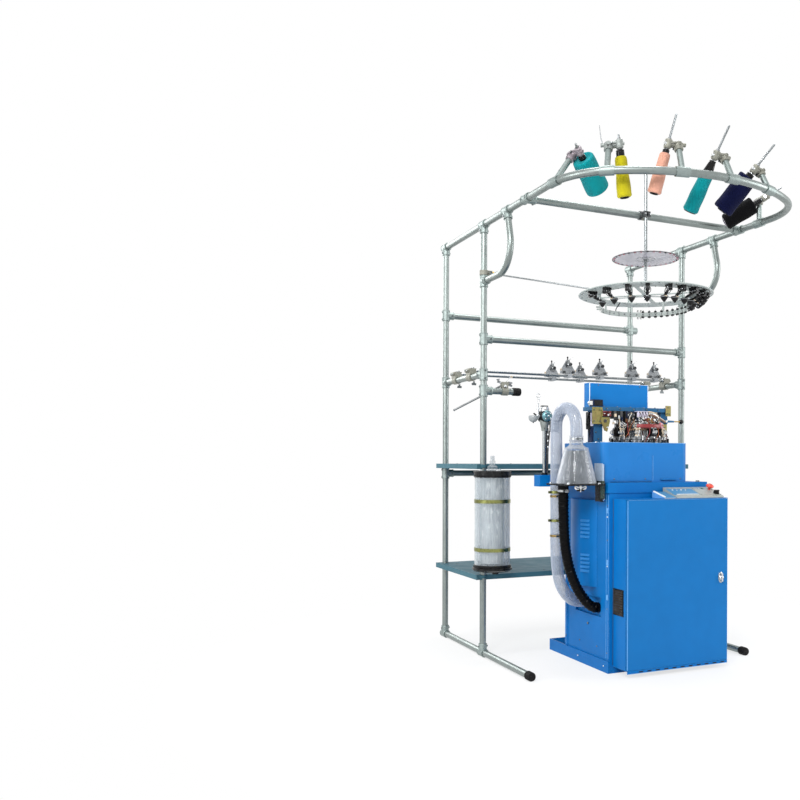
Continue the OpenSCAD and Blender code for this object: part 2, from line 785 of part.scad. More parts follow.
// Strip bent to three fifths of a ring, hung from the feeder disc, with guide studs, and closed by a rod
strip_from = -10;
strip_to = 162;
stud_count = 11;
module eyelet_ring() color("#d0d3d2") {
    translate([hanger_x, hanger_y, eyelet_ring_z - strip_w / 2])
        rotate([0, 0, strip_from])
            rotate_extrude(angle = strip_to - strip_from, $fn = 128)
                translate([eyelet_ring_d / 2 - strip_t, 0])
                    square([strip_t, strip_w]);
    translate([hanger_x, hanger_y, 0]) {
        for (a = [strip_from + 2, 32, 118, strip_to - 2])
            rotate([0, 0, a])
                box([eyelet_ring_d / 2 - strip_t - 1, -5, eyelet_ring_z - 6],
                    [eyelet_ring_d / 2 + 1, 5, feeder_disc_z]);
        for (k = [0 : stud_count - 1])
            rotate([0, 0, strip_from + 8 + k * (strip_to - strip_from - 16) / (stud_count - 1)])
                translate([eyelet_ring_d / 2, 0, eyelet_ring_z])
                    bar(-ex * 2, ex * 16, 7);
    }
    closing_rod(closing_d, strip_to - 2, strip_from + 362);
}

// Sleeve bent to the ring with a leaning stub on it
module cone_stub(h) {
    p = holder_foot(h);
    head = holder_head(h);
    half = sleeve_len / 2 / ring_radius(h[0]) * 180 / PI;
    difference() {
        union() {
            if (h[1] > 0)
                bar(p - ey * sleeve_len / 2, p + ey * sleeve_len / 2, fitting_d);
            else
                ring_arc(h[0] - half, h[0] + half, fitting_d);
            bar(p, head - (head - p) * 0.1, stub_d);
        }
        if (h[1] > 0)
            bar(p - ey * sleeve_len, p + ey * sleeve_len, fitting_bore);
        else
            ring_arc(h[0] - 3 * half, h[0] + 3 * half, fitting_bore);
    }
}

module cone_stubs() color("#aab3b4") {
    for (h = holders)
        cone_stub(h);
}

// Cast clamp: one lobe on the stub, one lobe round the cone's shaft, and a wing screw boss
module cone_clamp(h) {
    head = holder_head(h);
    stub = head - holder_foot(h);
    shaft = head + holder_side(h) * clamp_offset;
    half = cone_axis(h) * clamp_d / 2;
    difference() {
        union() {
            bar(head - stub * 0.22, head + stub * 0.06, clamp_d);
            bar(shaft - half, shaft + half, clamp_d - 6);
            bar(head, shaft, 24);
            bar(head, head - holder_side(h) * 34, 18);
        }
        bar(head - stub * 0.5, head - stub * 0.1, stub_d + 2 * fit_gap);
        bar(shaft - 3 * half, shaft + 3 * half, shaft_d + 2 * fit_gap);
    }
}

module cone_clamps() color(cast) {
    for (h = holders)
        cone_clamp(h);
}

module cone_shafts() color(steel) {
    for (i = [0 : len(holders) - 1]) {
        h = holders[i];
        shaft = holder_head(h) + holder_side(h) * clamp_offset;
        reach = packages[i][2] + packages[i][3] - 30;
        bar(shaft - cone_axis(h) * (clamp_d / 2 + h[7]), cone_top(h) + cone_axis(h) * reach, shaft_d);
    }
}

// Tapered paper or plastic core: outside radius at a share s of its length
function core_r(q, s) = q[4] + (q[5] - q[4]) * s;
module cone_cores() color(black) {
    for (i = [0 : len(holders) - 1]) {
        q = packages[i];
        aim(cone_top(holders[i]), cone_axis(holders[i]))
            difference() {
                cylinder(h = q[2] + q[3], r1 = q[4], r2 = q[5]);
                translate([0, 0, -1])
                    cylinder(h = q[2] + q[3] - 24, d = shaft_d + 2 * fit_gap);
                translate([0, 0, q[2] + q[3] - 26])
                    cylinder(h = 30, r = core_r(q, 1 - 26 / (q[2] + q[3])) - core_wall);
            }
    }
}

// Wound yarn with rounded shoulders
module yarn_package(q) {
    r = 9;
    translate([0, 0, q[3]])
        difference() {
            rotate_extrude($fn = 64)
                polygon(concat([[0, 0]],
                    [for (a = [-90 : 18 : 0]) [q[0] - r + r * cos(a), r + r * sin(a)]],
                    [for (a = [0 : 18 : 90]) [q[1] - r + r * cos(a), q[2] - 4 - r + r * sin(a)]],
                    [[0, q[2] - 4]]));
            translate([0, 0, -q[3]])
                cylinder(h = q[2] + q[3], r1 = q[4] + fit_gap, r2 = q[5] + fit_gap);
        }
}

module yarn_cones() {
    for (i = [0 : len(holders) - 1])
        color(package_colors[i])
            aim(cone_top(holders[i]), cone_axis(holders[i]))
                yarn_package(packages[i]);
}

// Sheet shelf with its rim turned down, notched round the posts
shelf_over = 42;
module shelf(z) {
    low = [left_x - shelf_over, post_y - 14, z - shelf_rim];
    high = [right_x + shelf_over, back_y + shelf_over, z];
    difference() {
        box(low, high);
        box(low + [shelf_t, shelf_t, -1], high - [shelf_t, shelf_t, shelf_t]);
        for (x = sides, y = [post_y, back_y])
            translate([x, y, z - shelf_rim - 1])
                cylinder(h = shelf_rim + 2, d = tube_d + 2 * fit_gap);
    }
}

// Shelf collars are clamped round the posts just below each shelf
module shelf_collars(z) {
    for (x = sides, y = [post_y, back_y])
        translate([x, y, z - shelf_t - 16])
            ring(tube_d + 12, tube_d + 2 * fit_gap, 16);
}

module shelves() color(shelf_teal) {
    for (z = [upper_shelf_z, lower_shelf_z]) {
        shelf(z);
        shelf_collars(z);
    }
}

// Clear bowl with a stepped spout on its lid
module filter_bowl() color([0.85, 0.9, 0.92, 0.5]) {
    translate([filter_x, filter_y, filter_z + filter_cap_h])
        ring(bowl_d, bowl_d - 8, filter_h - 2 * filter_cap_h, $fn = 96);
    translate([filter_x, filter_y, filter_z + filter_h])
        rotate_extrude($fn = 48)
            polygon([[5, 0], [25, 0], [25, 22], [15, 26], [15, 50], [11, 50], [11, 76], [5, 76]]);
}

module filter_caps() color(black) {
    translate([filter_x, filter_y, filter_z + filter_h - filter_cap_h])
        rotate_extrude($fn = 96)
            polygon([[0, 6], [bowl_r - 8, 6], [bowl_r - 8, 0], [bowl_r - 4.5, 0],
                [bowl_r - 4.5, 0.3], [bowl_r, 0.3], [bowl_r + 4, 14], [bowl_r + 4, filter_cap_h - 4],
                [bowl_r - 6, filter_cap_h], [0, filter_cap_h]]);
    translate([filter_x, filter_y, filter_z])
        rotate_extrude($fn = 96)
            polygon([[0, 0], [bowl_r - 20, 0], [bowl_r + 10, 8], [bowl_r + 10, 18],
                [bowl_r, 22], [bowl_r, filter_cap_h - 0.3], [bowl_r - 4.5, filter_cap_h - 0.3],
                [bowl_r - 4.5, filter_cap_h + 10], [bowl_r - 10, filter_cap_h + 10],
                [bowl_r - 10, 26], [0, 26]]);
    translate([filter_x + 18, filter_y, filter_z - 18])
        cylinder(h = 18, d = 34);
}

mesh_d = bowl_d - 60;
module filter_mesh() color("#e8eaea") {
    translate([filter_x, filter_y, filter_z + 26.3])
        ring(mesh_d, mesh_d - 12, filter_h - filter_cap_h - 26.3 + 5.7, $fn = 72);
}

// Bands round the filter with lugs on the post, and the clips on the clear hose
band_w = 18;
module filter_band(z) {
    difference() {
        union() {
            translate([filter_x, filter_y, z])
                ring(bowl_d + 4, bowl_d + 2 * fit_gap, band_w, $fn = 96);
            translate([left_x, post_y, z])
                ring(tube_d + 8, tube_d + 2 * fit_gap, band_w);
            box([filter_x - 8, filter_y + bowl_d / 2 + 1, z],
                [filter_x + 8, post_y - tube_d / 2 - 1, z + band_w]);
        }
        translate([filter_x, filter_y, z - 1])
            cylinder(h = band_w + 2, d = bowl_d + 2 * fit_gap, $fn = 96);
        translate([left_x, post_y, z - 1])
            cylinder(h = band_w + 2, d = tube_d + 2 * fit_gap);
    }
}

clip_z = [860, 720];
clip_t = 2;
clip_w = 12;
clear_leg = clear_route[10];
module hose_clip(z) {
    c = [clear_leg.x, clear_leg.y, z];
    bore = clear_hose_d + 2 * fit_gap;
    translate(c)
        ring(bore + 2 * clip_t, bore, clip_w);
    translate(c)
        difference() {
            box([-bore / 2 - 11, -8, 0], [-bore / 2 + 1, 8, clip_w]);
            translate([0, 0, -1])
                cylinder(h = clip_w + 2, d = bore + clip_t);
        }
}

module metal_bands() color(brass) {
    filter_band(filter_z + filter_h * 0.2);
    filter_band(filter_z + filter_h * 0.68);
    for (z = clip_z)
        hose_clip(z);
}

// Base: floor plate with raised side flanges that reach back past the cabinet
base_reach = 163;
module machine_base() color(blue) {
    box([cabinet_left - 8, -cabinet_front, 0], [cabinet_right + 8, cabinet_back, 10]);
    for (x = [cabinet_left - 8, cabinet_right])
        box([x, -cabinet_front, 0], [x + 8, cabinet_back + base_reach, base_h]);
    for (x = [cabinet_left, cabinet_right - 60])
        box([x, cabinet_back - 2, 0], [x + 60, cabinet_back + base_reach, 10]);
    box([cabinet_left - 8, cabinet_back + base_reach - 8, 0],
        [cabinet_right + 8, cabinet_back + base_reach, base_h]);
}

module cabinet_body() color(blue) {
    difference() {
        box([cabinet_left, -cabinet_front, 10], [cabinet_right, cabinet_back, cabinet_top]);
        box([cabinet_left - 1, recess_y[0], recess_z[0]],
            [cabinet_left + recess_depth, recess_y[1], recess_z[1]]);
    }
    for (y = [-cabinet_front + 6, cabinet_back - 26])
        box([cabinet_left - 4, y, base_h + 1], [cabinet_left, y + 20, cabinet_top - 4]);
}

// Bulged duct cover on the left side, with two groups of pressed louvres
duct_w = 262;
duct_bulge = 44;
duct_bottom = 400;
louvre_z = [470, 640];
module duct_cover() color("#2a7ccc") {
    r = (duct_w * duct_w / 4 + duct_bulge * duct_bulge) / (2 * duct_bulge);
    difference() {
        intersection() {
            translate([cabinet_left - duct_bulge + r, duct_y, duct_bottom])
                cylinder(h = duct_top - duct_bottom, r = r, $fn = 128);
            box([cabinet_left - duct_bulge, duct_y - duct_w / 2, duct_bottom],
                [cabinet_left, duct_y + duct_w / 2, duct_top]);
        }
        for (g = louvre_z, k = [0 : 4])
            box([cabinet_left - duct_bulge - 1, duct_y - 92, g + 20 * k],
                [cabinet_left - duct_bulge + 30, duct_y - 42, g + 20 * k + 7]);
    }
}

// Electrical box: three upright walls with a vent hole in the left one
vent_y = [box_front + 34, -cabinet_front - 6];
vent_z = [286, 412];
module front_box() color(blue) {
    low = [box_left, wall_front, box_bottom + box_t];
    high = [box_right, -cabinet_front, box_top - box_t];
    difference() {
        box(low, high);
        box([low.x + box_t, low.y - 1, low.z - 1], [high.x - box_t, high.y - box_t, high.z + 1]);
        box([box_left - 1, vent_y[0] + 6, vent_z[0] + 6],
            [box_left + box_t + 1, vent_y[1] - 6, vent_z[1] - 6]);
    }
}

// Top and bottom plates of the electrical box; the bottom one is slotted and has a front flange
flange_h = 12;
bottom_slots = 11;
module box_plates() color(blue) {
    difference() {
        union() {
            for (z = [box_bottom, box_top - box_t])
                box([box_left, box_front, z], [box_right, -cabinet_front, z + box_t]);
            box([box_left, box_front, box_bottom - flange_h], [box_right, box_front + box_t, box_bottom + 1]);
        }
        for (z = [box_bottom, box_top - box_t])
            translate([hinge_x, hinge_y, z - 1])
                cylinder(h = box_t + 2, d = hinge_d + 2 * run_gap);
        for (k = [0 : bottom_slots - 1])
            translate([box_left + 62 + 48 * k, box_front + 44, box_bottom - 1])
                box([0, 0, 0], [26, 9, box_t + 2]);
    }
}

// Perforated vent plate over the hole in the box's side
module vent_grille() color(black) {
    difference() {
        box([box_left - 2, vent_y[0], vent_z[0]], [box_left, vent_y[1], vent_z[1]]);
        for (k = [0 : 8])
            box([box_left - 3, vent_y[0] + 9, vent_z[0] + 10 + 12.5 * k],
                [box_left + 1, vent_y[1] - 9, vent_z[0] + 16 + 12.5 * k]);
    }
}

// Mounting plate with drive, power supply and terminal row inside the electrical box
// Each unit: left, right, bottom and top as shares of the plate, and its depth as a share of the box's
units = [[0.08, 0.42, 0.62, 0.90, 0.58], [0.52, 0.88, 0.65, 0.87, 0.48], [0.08, 0.88, 0.15, 0.22, 0.38],
    [0.10, 0.34, 0.32, 0.50, 0.44]];
plate_inset = box_depth * 0.3;
unit_plate_t = 3;
module control_unit() color("#c9c6b4") {
    back = -cabinet_front - box_t;
    low = [box_left + plate_inset, back - unit_plate_t, box_bottom + 1.5 * plate_inset];
    size = [box_right - plate_inset, back, box_top - 1.5 * plate_inset] - low;
    translate(low) {
        cube(size);
        for (u = units)
            box([size.x * u[0], -box_depth * u[4], size.z * u[2]], [size.x * u[1], 0, size.z * u[3]]);
    }
}

// Door pan with hinge pins at its top and bottom edges and a hole for the lock
module front_door() color("#2678c8") {
    low = [box_left, box_front, box_bottom + box_t + 1];
    high = [box_right, door_back, box_top - box_t - 1];
    difference() {
        union() {
            difference() {
                box(low, high);
                box(low + [box_t, box_t, box_t], [high.x - box_t, high.y + 1, high.z - box_t]);
            }
            bar([hinge_x, hinge_y, low.z], [hinge_x, hinge_y, low.z + 24], hinge_d + 4);
            bar([hinge_x, hinge_y, high.z - 24], [hinge_x, hinge_y, high.z], hinge_d + 4);
            bar([hinge_x, hinge_y, box_bottom], [hinge_x, hinge_y, low.z + 1], hinge_d);
            bar([hinge_x, hinge_y, high.z - 1], [hinge_x, hinge_y, box_top], hinge_d);
        }
        bar([lock_x, box_front - 1, lock_z], [lock_x, box_front + box_t + 1, lock_z], lock_d + 2 * run_gap);
    }
}

// Quarter turn lock: barrel, wing and the cam behind the door
module door_lock() color(steel) {
    bar([lock_x, box_front - 5, lock_z], [lock_x, box_front + box_t + 3, lock_z], lock_d);
    box([lock_x - 4, box_front - 15, lock_z - 19], [lock_x + 4, box_front - 5, lock_z + 19]);
    box([lock_x - 8, box_front + box_t + 3, lock_z - 8], [lock_x + 24, box_front + box_t + 6, lock_z + 8]);
}

// Bed plate with the bearing bore of the needle cylinder
bed_left = cabinet_left - 10;
bed_right = cabinet_right - 36;
module bed_plate() color(blue) {
    difference() {
        box([bed_left, -cabinet_front - 4, cabinet_top], [bed_right, cabinet_back + 20, bed_top]);
        translate([0, 0, cabinet_top - 1])
            cylinder(h = bed_t + 2, d = journal_d + 2 * run_gap, $fn = 96);
    }
}

// Upper casing: rounded sheet shell, open below, with a round hole for the cam ring
module casing() color(blue) {
    low = [casing_left, -casing_front, bed_top];
    high = [casing_right, -casing_front + casing_depth, casing_top];
    t = [casing_t, casing_t, 0];
    difference() {
        rounded_box(low, high, casing_r);
        rounded_box(low + t - [0, 0, 1], high - t - [0, 0, casing_t], casing_r - casing_t);
        translate([0, 0, bed_top])
            cylinder(h = casing_h + 1, d = casing_hole_d, $fn = 96);
        box([-20, -casing_front - 1, bed_top + 4], [-17, -casing_front + 1.2, casing_top - 60]);
        box([casing_left + 30, -casing_front - 1, bed_top + 4], [-17, -casing_front + 1.2, bed_top + 7]);
    }
}

// Sloping control panel on the electrical box
panel_left = 20;
panel_right = box_right - 22;
panel_back = -cabinet_front - 8;
panel_h = 50;
panel_slope = atan2(panel_h - 8, panel_back - box_front - 4);
panel_mid = [0, (panel_back + box_front + 4) / 2, box_top + (panel_h + 8) / 2];
panel_normal = [0, -sin(panel_slope), cos(panel_slope)];
estop_at = [panel_right - 26, panel_mid.y + 24, panel_mid.z + 24 * tan(panel_slope)];
knob_at = [panel_right - 24, panel_mid.y - 28, panel_mid.z - 28 * tan(panel_slope)];
stem_d = 12;
stem_depth = 16;
module control_panel() color("#a9b0ae") {
    difference() {
        translate([panel_left, 0, 0])
            rotate([90, 0, 90])
                linear_extrude(panel_right - panel_left)
                    polygon([[box_front + 4, box_top], [panel_back, box_top],
                        [panel_back, box_top + panel_h], [box_front + 4, box_top + 8]]);
        for (p = [estop_at, knob_at])
            bar(p - panel_normal * (stem_depth + 6), p + panel_normal * 4, stem_d + 2 * run_gap);
        aim([panel_left + 86, panel_mid.y, panel_mid.z], panel_normal)
            rotate([0, 0, -90])
                box([-70, -38, -3], [70, 38, 5]);
    }
}

module estop_button() color("#d2402f") {
    bar(estop_at - panel_normal * stem_depth, estop_at + panel_normal * 15, stem_d);
    aim(estop_at + panel_normal * 12, panel_normal)
        rotate_extrude($fn = 48)
            polygon([[0, 0], [14, 0], [19, 4], [19, 9], [15, 14], [8, 17], [0, 18]]);
}

module selector_knob() color(black) {
    bar(knob_at - panel_normal * stem_depth, knob_at + panel_normal * 5, stem_d);
    aim(knob_at + panel_normal * 2, panel_normal)
        union() {
            cylinder(h = 8, d = 28);
            box([-4, -14, 8], [4, 14, 18]);
        }
}

// Blue arm that carries the stand rod beside the bed
module bracket_arm() color(blue) {
    difference() {
        union() {
            box([stand_x - 42, stand_y - 32, arm_top - arm_h], [strap_x, stand_y + 32, arm_top]);
            box([strap_x - 1, stand_y - 32, arm_top - arm_h], [bed_left, stand_y + 32, bed_top - 2]);
        }
        box([stand_x - 36, stand_y - 26, arm_top - arm_h - 1], [strap_x - 6, stand_y + 26, arm_top - 6]);
        translate([stand_x, stand_y, arm_top - 20])
            cylinder(h = 40, d = stand_d + 2 * fit_gap);
    }
}

module stand_rod() color(steel) {
    bar([stand_x, stand_y, arm_top - 18], [stand_x, stand_y, stand_top], stand_d);
}

// Valve head on the stand rod: tapered socket, round body with a cover, top cap, side tube
// with its knob, and the sensor box behind the hose
valve_z = stand_top + 42;
valve_d = 62;
side_tube_x = stand_x - 38;
knob_d = 48;
sensor_x = stand_x + 38;
module air_regulator() color("#8f9694") {
    difference() {
        union() {
            translate([stand_x, stand_y, stand_top - 32])
                cylinder(h = valve_z - stand_top + 8, d1 = stand_d + 12, d2 = valve_d * 0.8);
            aim([stand_x, stand_y + 30, valve_z], -ey)
                rotate_extrude()
                    polygon([[0, 0], [valve_d / 2 - 4, 0], [valve_d / 2, 4], [valve_d / 2, 52],
                        [valve_d / 2 - 6, 58], [valve_d / 2 - 6, 66], [valve_d / 2 - 12, 72], [0, 72]]);
            translate([stand_x, stand_y - 4, valve_z + valve_d / 2 - 6])
                cylinder(h = 32, d1 = 44, d2 = 36);
            bar([side_tube_x - 6, stand_y, valve_z], [stand_x, stand_y, valve_z], 18);
            bar([side_tube_x, stand_y, valve_z - 14], [side_tube_x, stand_y, valve_z + 64], 15);
            bar([side_tube_x - knob_d / 2, stand_y, valve_z - 12], [side_tube_x, stand_y, valve_z - 12], 14);
            box([sensor_x, stand_y - 20, valve_z - 80], [sensor_x + 38, stand_y + 20, valve_z - 18]);
            bar([stand_x, stand_y, valve_z - 34], [sensor_x + 2, stand_y, valve_z - 34], 16);
        }
        translate([stand_x, stand_y, stand_top - 40])
            cylinder(h = 40 + fit_gap, d = stand_d + 2 * fit_gap);
    }
    translate([side_tube_x - knob_d / 2 - 2, stand_y, valve_z - 4])
        rotate_extrude()
            intersection() {
                circle(d = knob_d);
                translate([0, -knob_d])
                    square(knob_d);
            }
}

module clear_hose() color([0.8, 0.84, 0.92, 0.6]) {
    route_rod(clear_route, clear_hose_d, 12, hose_ref);
}

module black_hose() color(black) {
    route_rod(black_route, black_hose_d, 12, hose_ref);
}

// Clear funnel: conical shell with a neck that takes the hose
module funnel() color([0.85, 0.88, 0.92, 0.5]) {
    r = funnel_d / 2;
    n = neck_bore / 2 + funnel_t;
    translate([funnel_x, funnel_y, plate_top])
        rotate_extrude($fn = 96)
            polygon([[r - funnel_t, 0], [r, 0], [r, 10], [r * 0.92, 40], [r * 0.6, funnel_h - 62],
                [n, funnel_h - 46], [n, funnel_h], [n - funnel_t, funnel_h],
                [n - funnel_t, funnel_h - 48], [r * 0.6 - funnel_t, funnel_h - 66],
                [r * 0.92 - funnel_t, 42], [r - funnel_t, 12]]);
}

// Black plate under the funnel, hung from a strap on the bed's side, with a wing nut below
strap_x = casing_left - fit_gap;
strap_t = 6;
strap_y = [funnel_y - 78, funnel_y - 8];
nut_at = [funnel_x - 24, funnel_y - 84, plate_top - plate_t];
module funnel_plate() color(black) {
    difference() {
        box([funnel_x - 108, funnel_y - 104, plate_top - plate_t],
            [strap_x - strap_t, funnel_y + 104, plate_top]);
        translate(black_route[0] - ez)
            cylinder(h = plate_t + 2, d = black_hose_d - 6);
    }
    box([strap_x - strap_t, strap_y[0], cabinet_top - 42], [strap_x, strap_y[1], bed_top + 80]);
    box([strap_x, strap_y[0] + 8, cabinet_top + 6], [bed_left, strap_y[1] - 8, bed_top - 6]);
    bar(nut_at - ez * 14, nut_at, 12);
    box(nut_at + [-20, -3, -26], nut_at + [20, 3, -12]);
}

// Arch over the cylinder: left column, head plate, short right leg and the dial's bearing boss
arch = [-276, -12, 182, 92];
column = [-264, 4, -214, 64];
leg = [138, 4, 180, 54];
boss_d = 60;
boss_h = 26;
head_bottom = head_z - head_t;
leg_h = 60;
lever_pivot = [leg[2] - 15, leg[1] - fit_gap, head_bottom - 46];
pivot_d = 10;
pivot_reach = 28;
hub_t = 14;
module head_frame() color("#2a72b8") {
    difference() {
        union() {
            box([arch[0], arch[1], head_bottom], [arch[2], arch[3], head_z]);
            box([column[0], column[1], casing_top], [column[2], column[3], head_bottom]);
            box([leg[0], leg[1], head_bottom - leg_h], [leg[2], leg[3], head_bottom]);
            translate([0, 0, head_bottom - boss_h])
                cylinder(h = head_t + boss_h, d = boss_d);
        }
        translate([0, 0, head_bottom - boss_h - 1])
            cylinder(h = head_t + boss_h + 2, d = dial_shaft_d + 2 * run_gap);
        bar(lever_pivot - ey, lever_pivot + ey * (pivot_reach + fit_gap), pivot_d + 2 * run_gap);
    }
}

// Pressed cover on the head plate, bare of any label
cover = [-276, 26, 74, 84];
module head_cover() color("#2b7fd2") {
    r = 6;
    difference() {
        rounded_box([cover[0], cover[1], head_z], [cover[2], cover[3], head_z + head_cover_h], r);
        rounded_box([cover[0] + 2, cover[1] + 2, head_z - 1],
            [cover[2] - 2, cover[3] - 2, head_z + head_cover_h - 2], r - 2);
    }
}

// Yellow passivated plates on the arch and the bright column at the right
module brass_brackets() color(brass) {
    box([arch[0] - 8, arch[1] - 4, head_bottom - 68], [arch[0] + 50, arch[1], head_z - 4]);
    translate([arch[0] + 46, arch[1] - 8, head_bottom - 10])
        rotate([90, 0, 0])
            mirror([0, 0, 1])
                linear_extrude(4)
                    polygon([[0, 0], [40, 6], [46, -44], [30, -96], [14, -90], [-8, -40]]);
    box([arch[0] + 44, arch[1] - 8, head_bottom - 4], [arch[0] + 50, arch[1], head_bottom + 4]);
    box([arch[2] - 26, arch[1] - 4, head_bottom - 20], [arch[2] + 6, arch[1], head_z + 14]);
    box([leg[0] + 12, leg[1] + 4, casing_top], [leg[2], leg[1] + 34, head_bottom - leg_h]);
}

// Hand lever that pivots on a pin in the right leg: hub, arm and ball
module head_lever() color("#2a72b8") {
    arm_start = lever_pivot - ey * hub_t / 2;
    bar(lever_pivot - ey * 2, lever_pivot + ey * pivot_reach, pivot_d);
    bar(lever_pivot - ey * hub_t, lever_pivot, 26);
    bar(arm_start, arm_start + ex * 48, 11);
    bar(arm_start + ex * 46, arm_start + ex * (lever_len - 10), 8);
    translate(arm_start + ex * lever_len)
        sphere(d = 26, $fn = 48);
}

// Slotted needle cylinder with its journal in the bed's bore
slot_w = 1.6;
slot_depth = 3;
slot_len = 70;
module needle_cylinder() color(steel) {
    difference() {
        union() {
            translate([0, 0, cabinet_top + 3])
                cylinder(h = bed_t + 20, d = journal_d, $fn = 96);
            translate([0, 0, bed_top + fit_gap])
                cylinder(h = cylinder_top - bed_top - fit_gap, d = cylinder_d, $fn = 96);
        }
        translate([0, 0, cabinet_top])
            cylinder(h = cylinder_top, d = cylinder_bore, $fn = 96);
        for (k = [0 : needle_count - 1])
            rotate([0, 0, k * 360 / needle_count])
                box([cylinder_d / 2 - slot_depth, -slot_w / 2, cylinder_top - slot_len],
                    [cylinder_d / 2 + 1, slot_w / 2, cylinder_top + 1]);
    }
}

// Latch needles: each a flat shank in its slot with a hook above the cylinder's edge
module needles() color("#e4e6e8") {
    for (k = [0 : needle_count - 1])
        rotate([0, 0, k * 360 / needle_count])
            needle();
}

needle_t = 1.2;
module needle() {
    r = cylinder_d / 2 - slot_depth + 0.2;
    translate([r, needle_t / 2, cylinder_top - slot_len + fit_gap])
        rotate([90, 0, 0])
            linear_extrude(needle_t)
                polygon([[0, 0], [2.2, 0], [2.2, 84], [3.6, 84], [3.6, 80], [4.6, 80], [4.6, 88], [0, 88]]);
}

// Dial over the cylinder, on a shaft that runs in the head plate
dial_z = cylinder_top + 24;
collar_top = head_bottom - boss_h - 0.3;
module dial() color(steel) {
    rim = dial_d / 2;
    shaft = dial_shaft_d / 2;
    difference() {
        rotate_extrude($fn = 96)
            polygon([[0, dial_z], [rim - 2, dial_z], [rim, dial_z + 2], [rim, dial_z + 9],
                [shaft + 16, dial_z + 9], [shaft + 9, dial_z + 15], [shaft + 9, collar_top],
                [shaft, collar_top], [shaft, head_z], [0, head_z]]);
        for (k = [0 : 47])
            rotate([0, 0, k * 7.5])
                box([rim - 12, -0.9, dial_z + 7], [rim + 1, 0.9, dial_z + 10]);
    }
}

// Cam ring: tube on the bed with a wide flange above the casing
module cam_ring() color("#8b8d90") {
    rotate_extrude($fn = 128)
        polygon([[cam_d / 2 - 14, bed_top], [cam_d / 2, bed_top], [cam_d / 2, cam_top],
            [cylinder_d / 2 + 8, cam_top], [cylinder_d / 2 + 8, cam_top - 16],
            [cam_d / 2 - 14, cam_top - 16]]);
}

// Feeder ring on four posts, with yarn fingers that point at the needles
finger_count = 12;
finger_t = 8;
finger_ring = [cylinder_d / 2 + 14, cylinder_d / 2 + 44];
finger_z = cylinder_top - 24;
module yarn_fingers() color("#b08d6a") {
    translate([0, 0, finger_z])
        ring(2 * finger_ring[1], 2 * finger_ring[0], 10, $fn = 96);
    for (k = [0 : 3])
        rotate([0, 0, 22.5 + 90 * k])
            translate([finger_ring[1] - 10, 0, cam_top])
                cylinder(h = finger_z - cam_top + 1, d = 12);
    for (k = [0 : finger_count - 1])
        rotate([0, 0, k * 360 / finger_count])
            finger();
}

module finger() {
    translate([finger_ring[0], finger_t / 2, finger_z + 9])
        rotate([90, 0, 0])
            linear_extrude(finger_t)
                polygon([[6, 0], [32, 0], [32, 10], [40, 30], [38, 46], [30, 48], [24, 26], [8, 22], [-8, 37],
                    [-12, 34], [6, 12]]);
    bar([finger_ring[0] + 14, -finger_t, finger_z + 16], [finger_ring[0] + 14, finger_t, finger_z + 16], 9);
}

// Selector units round the cam ring: profiled block with slots for its jacks, and a terminal cap
actuator_count = 10;
actuator_w = 30;
jack_pitch = 8;
module actuators() color("#2b2a2c") {
    for (k = [0 : actuator_count - 1])
        rotate([0, 0, (k + 0.5) * 360 / actuator_count])
            translate([cam_d / 2 - 26, 0, cam_top])
                actuator();
}

module actuator() {
    difference() {
        translate([0, actuator_w / 2, 0])
            rotate([90, 0, 0])
                linear_extrude(actuator_w)
                    polygon([[0, 0], [26, 0], [26, 8], [40, 8], [44, 12], [44, 38], [38, 44], [26, 44],
                        [24, 54], [4, 54], [0, 48]]);
        for (y = [-jack_pitch : jack_pitch : jack_pitch])
            box([32, y - 1.5, 14], [45, y + 1.5, 36]);
    }
    translate([13, 0, 54])
        cylinder(h = 12, d1 = 18, d2 = 14);
}

floor_rails();
rubber_caps();
front_posts();
back_posts();
creel_ring();
curved_braces();
cross_bars();
side_rails();
pipe_tees();
set_screws();
guide_rods();
rod_blocks();
tension_plates();
yarn_tensioners();
hanger_rod();
guide_disc();
feeder_disc();
feeder_units();
eyelet_ring();
cone_stubs();
cone_clamps();
cone_shafts();
cone_cores();
yarn_cones();
shelves();
filter_bowl();
filter_caps();
filter_mesh();
metal_bands();
machine_base();
cabinet_body();
duct_cover();
front_box();
box_plates();
vent_grille();
control_unit();
front_door();
door_lock();
bed_plate();
casing();
control_panel();
estop_button();
selector_knob();
bracket_arm();
stand_rod();
air_regulator();
clear_hose();
black_hose();
funnel();
funnel_plate();
head_frame();
head_cover();
brass_brackets();
head_lever();
needle_cylinder();
needles();
dial();
yarn_fingers();
cam_ring();
actuators();
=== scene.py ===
import bpy
import math
from mathutils import Matrix, Vector


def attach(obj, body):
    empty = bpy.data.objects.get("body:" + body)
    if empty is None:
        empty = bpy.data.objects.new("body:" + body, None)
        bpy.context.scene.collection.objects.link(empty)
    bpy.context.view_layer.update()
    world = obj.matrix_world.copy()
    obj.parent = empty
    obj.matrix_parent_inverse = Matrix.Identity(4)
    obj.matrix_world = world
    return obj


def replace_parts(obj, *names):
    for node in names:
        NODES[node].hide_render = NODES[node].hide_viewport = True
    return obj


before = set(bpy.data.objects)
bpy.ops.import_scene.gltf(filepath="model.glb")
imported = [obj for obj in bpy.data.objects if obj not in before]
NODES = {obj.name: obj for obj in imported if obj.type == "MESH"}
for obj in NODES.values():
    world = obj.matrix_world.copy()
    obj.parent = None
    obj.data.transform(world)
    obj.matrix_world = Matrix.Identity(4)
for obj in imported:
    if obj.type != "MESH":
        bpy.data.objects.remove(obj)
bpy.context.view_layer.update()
SCENE = bpy.context.scene
SCENE.view_settings.view_transform = "Standard"
X, Y, Z = Vector((1, 0, 0)), Vector((0, 1, 0)), Vector((0, 0, 1))
SIDES = (-1, 1)


def V(*p):
    return Vector(p)


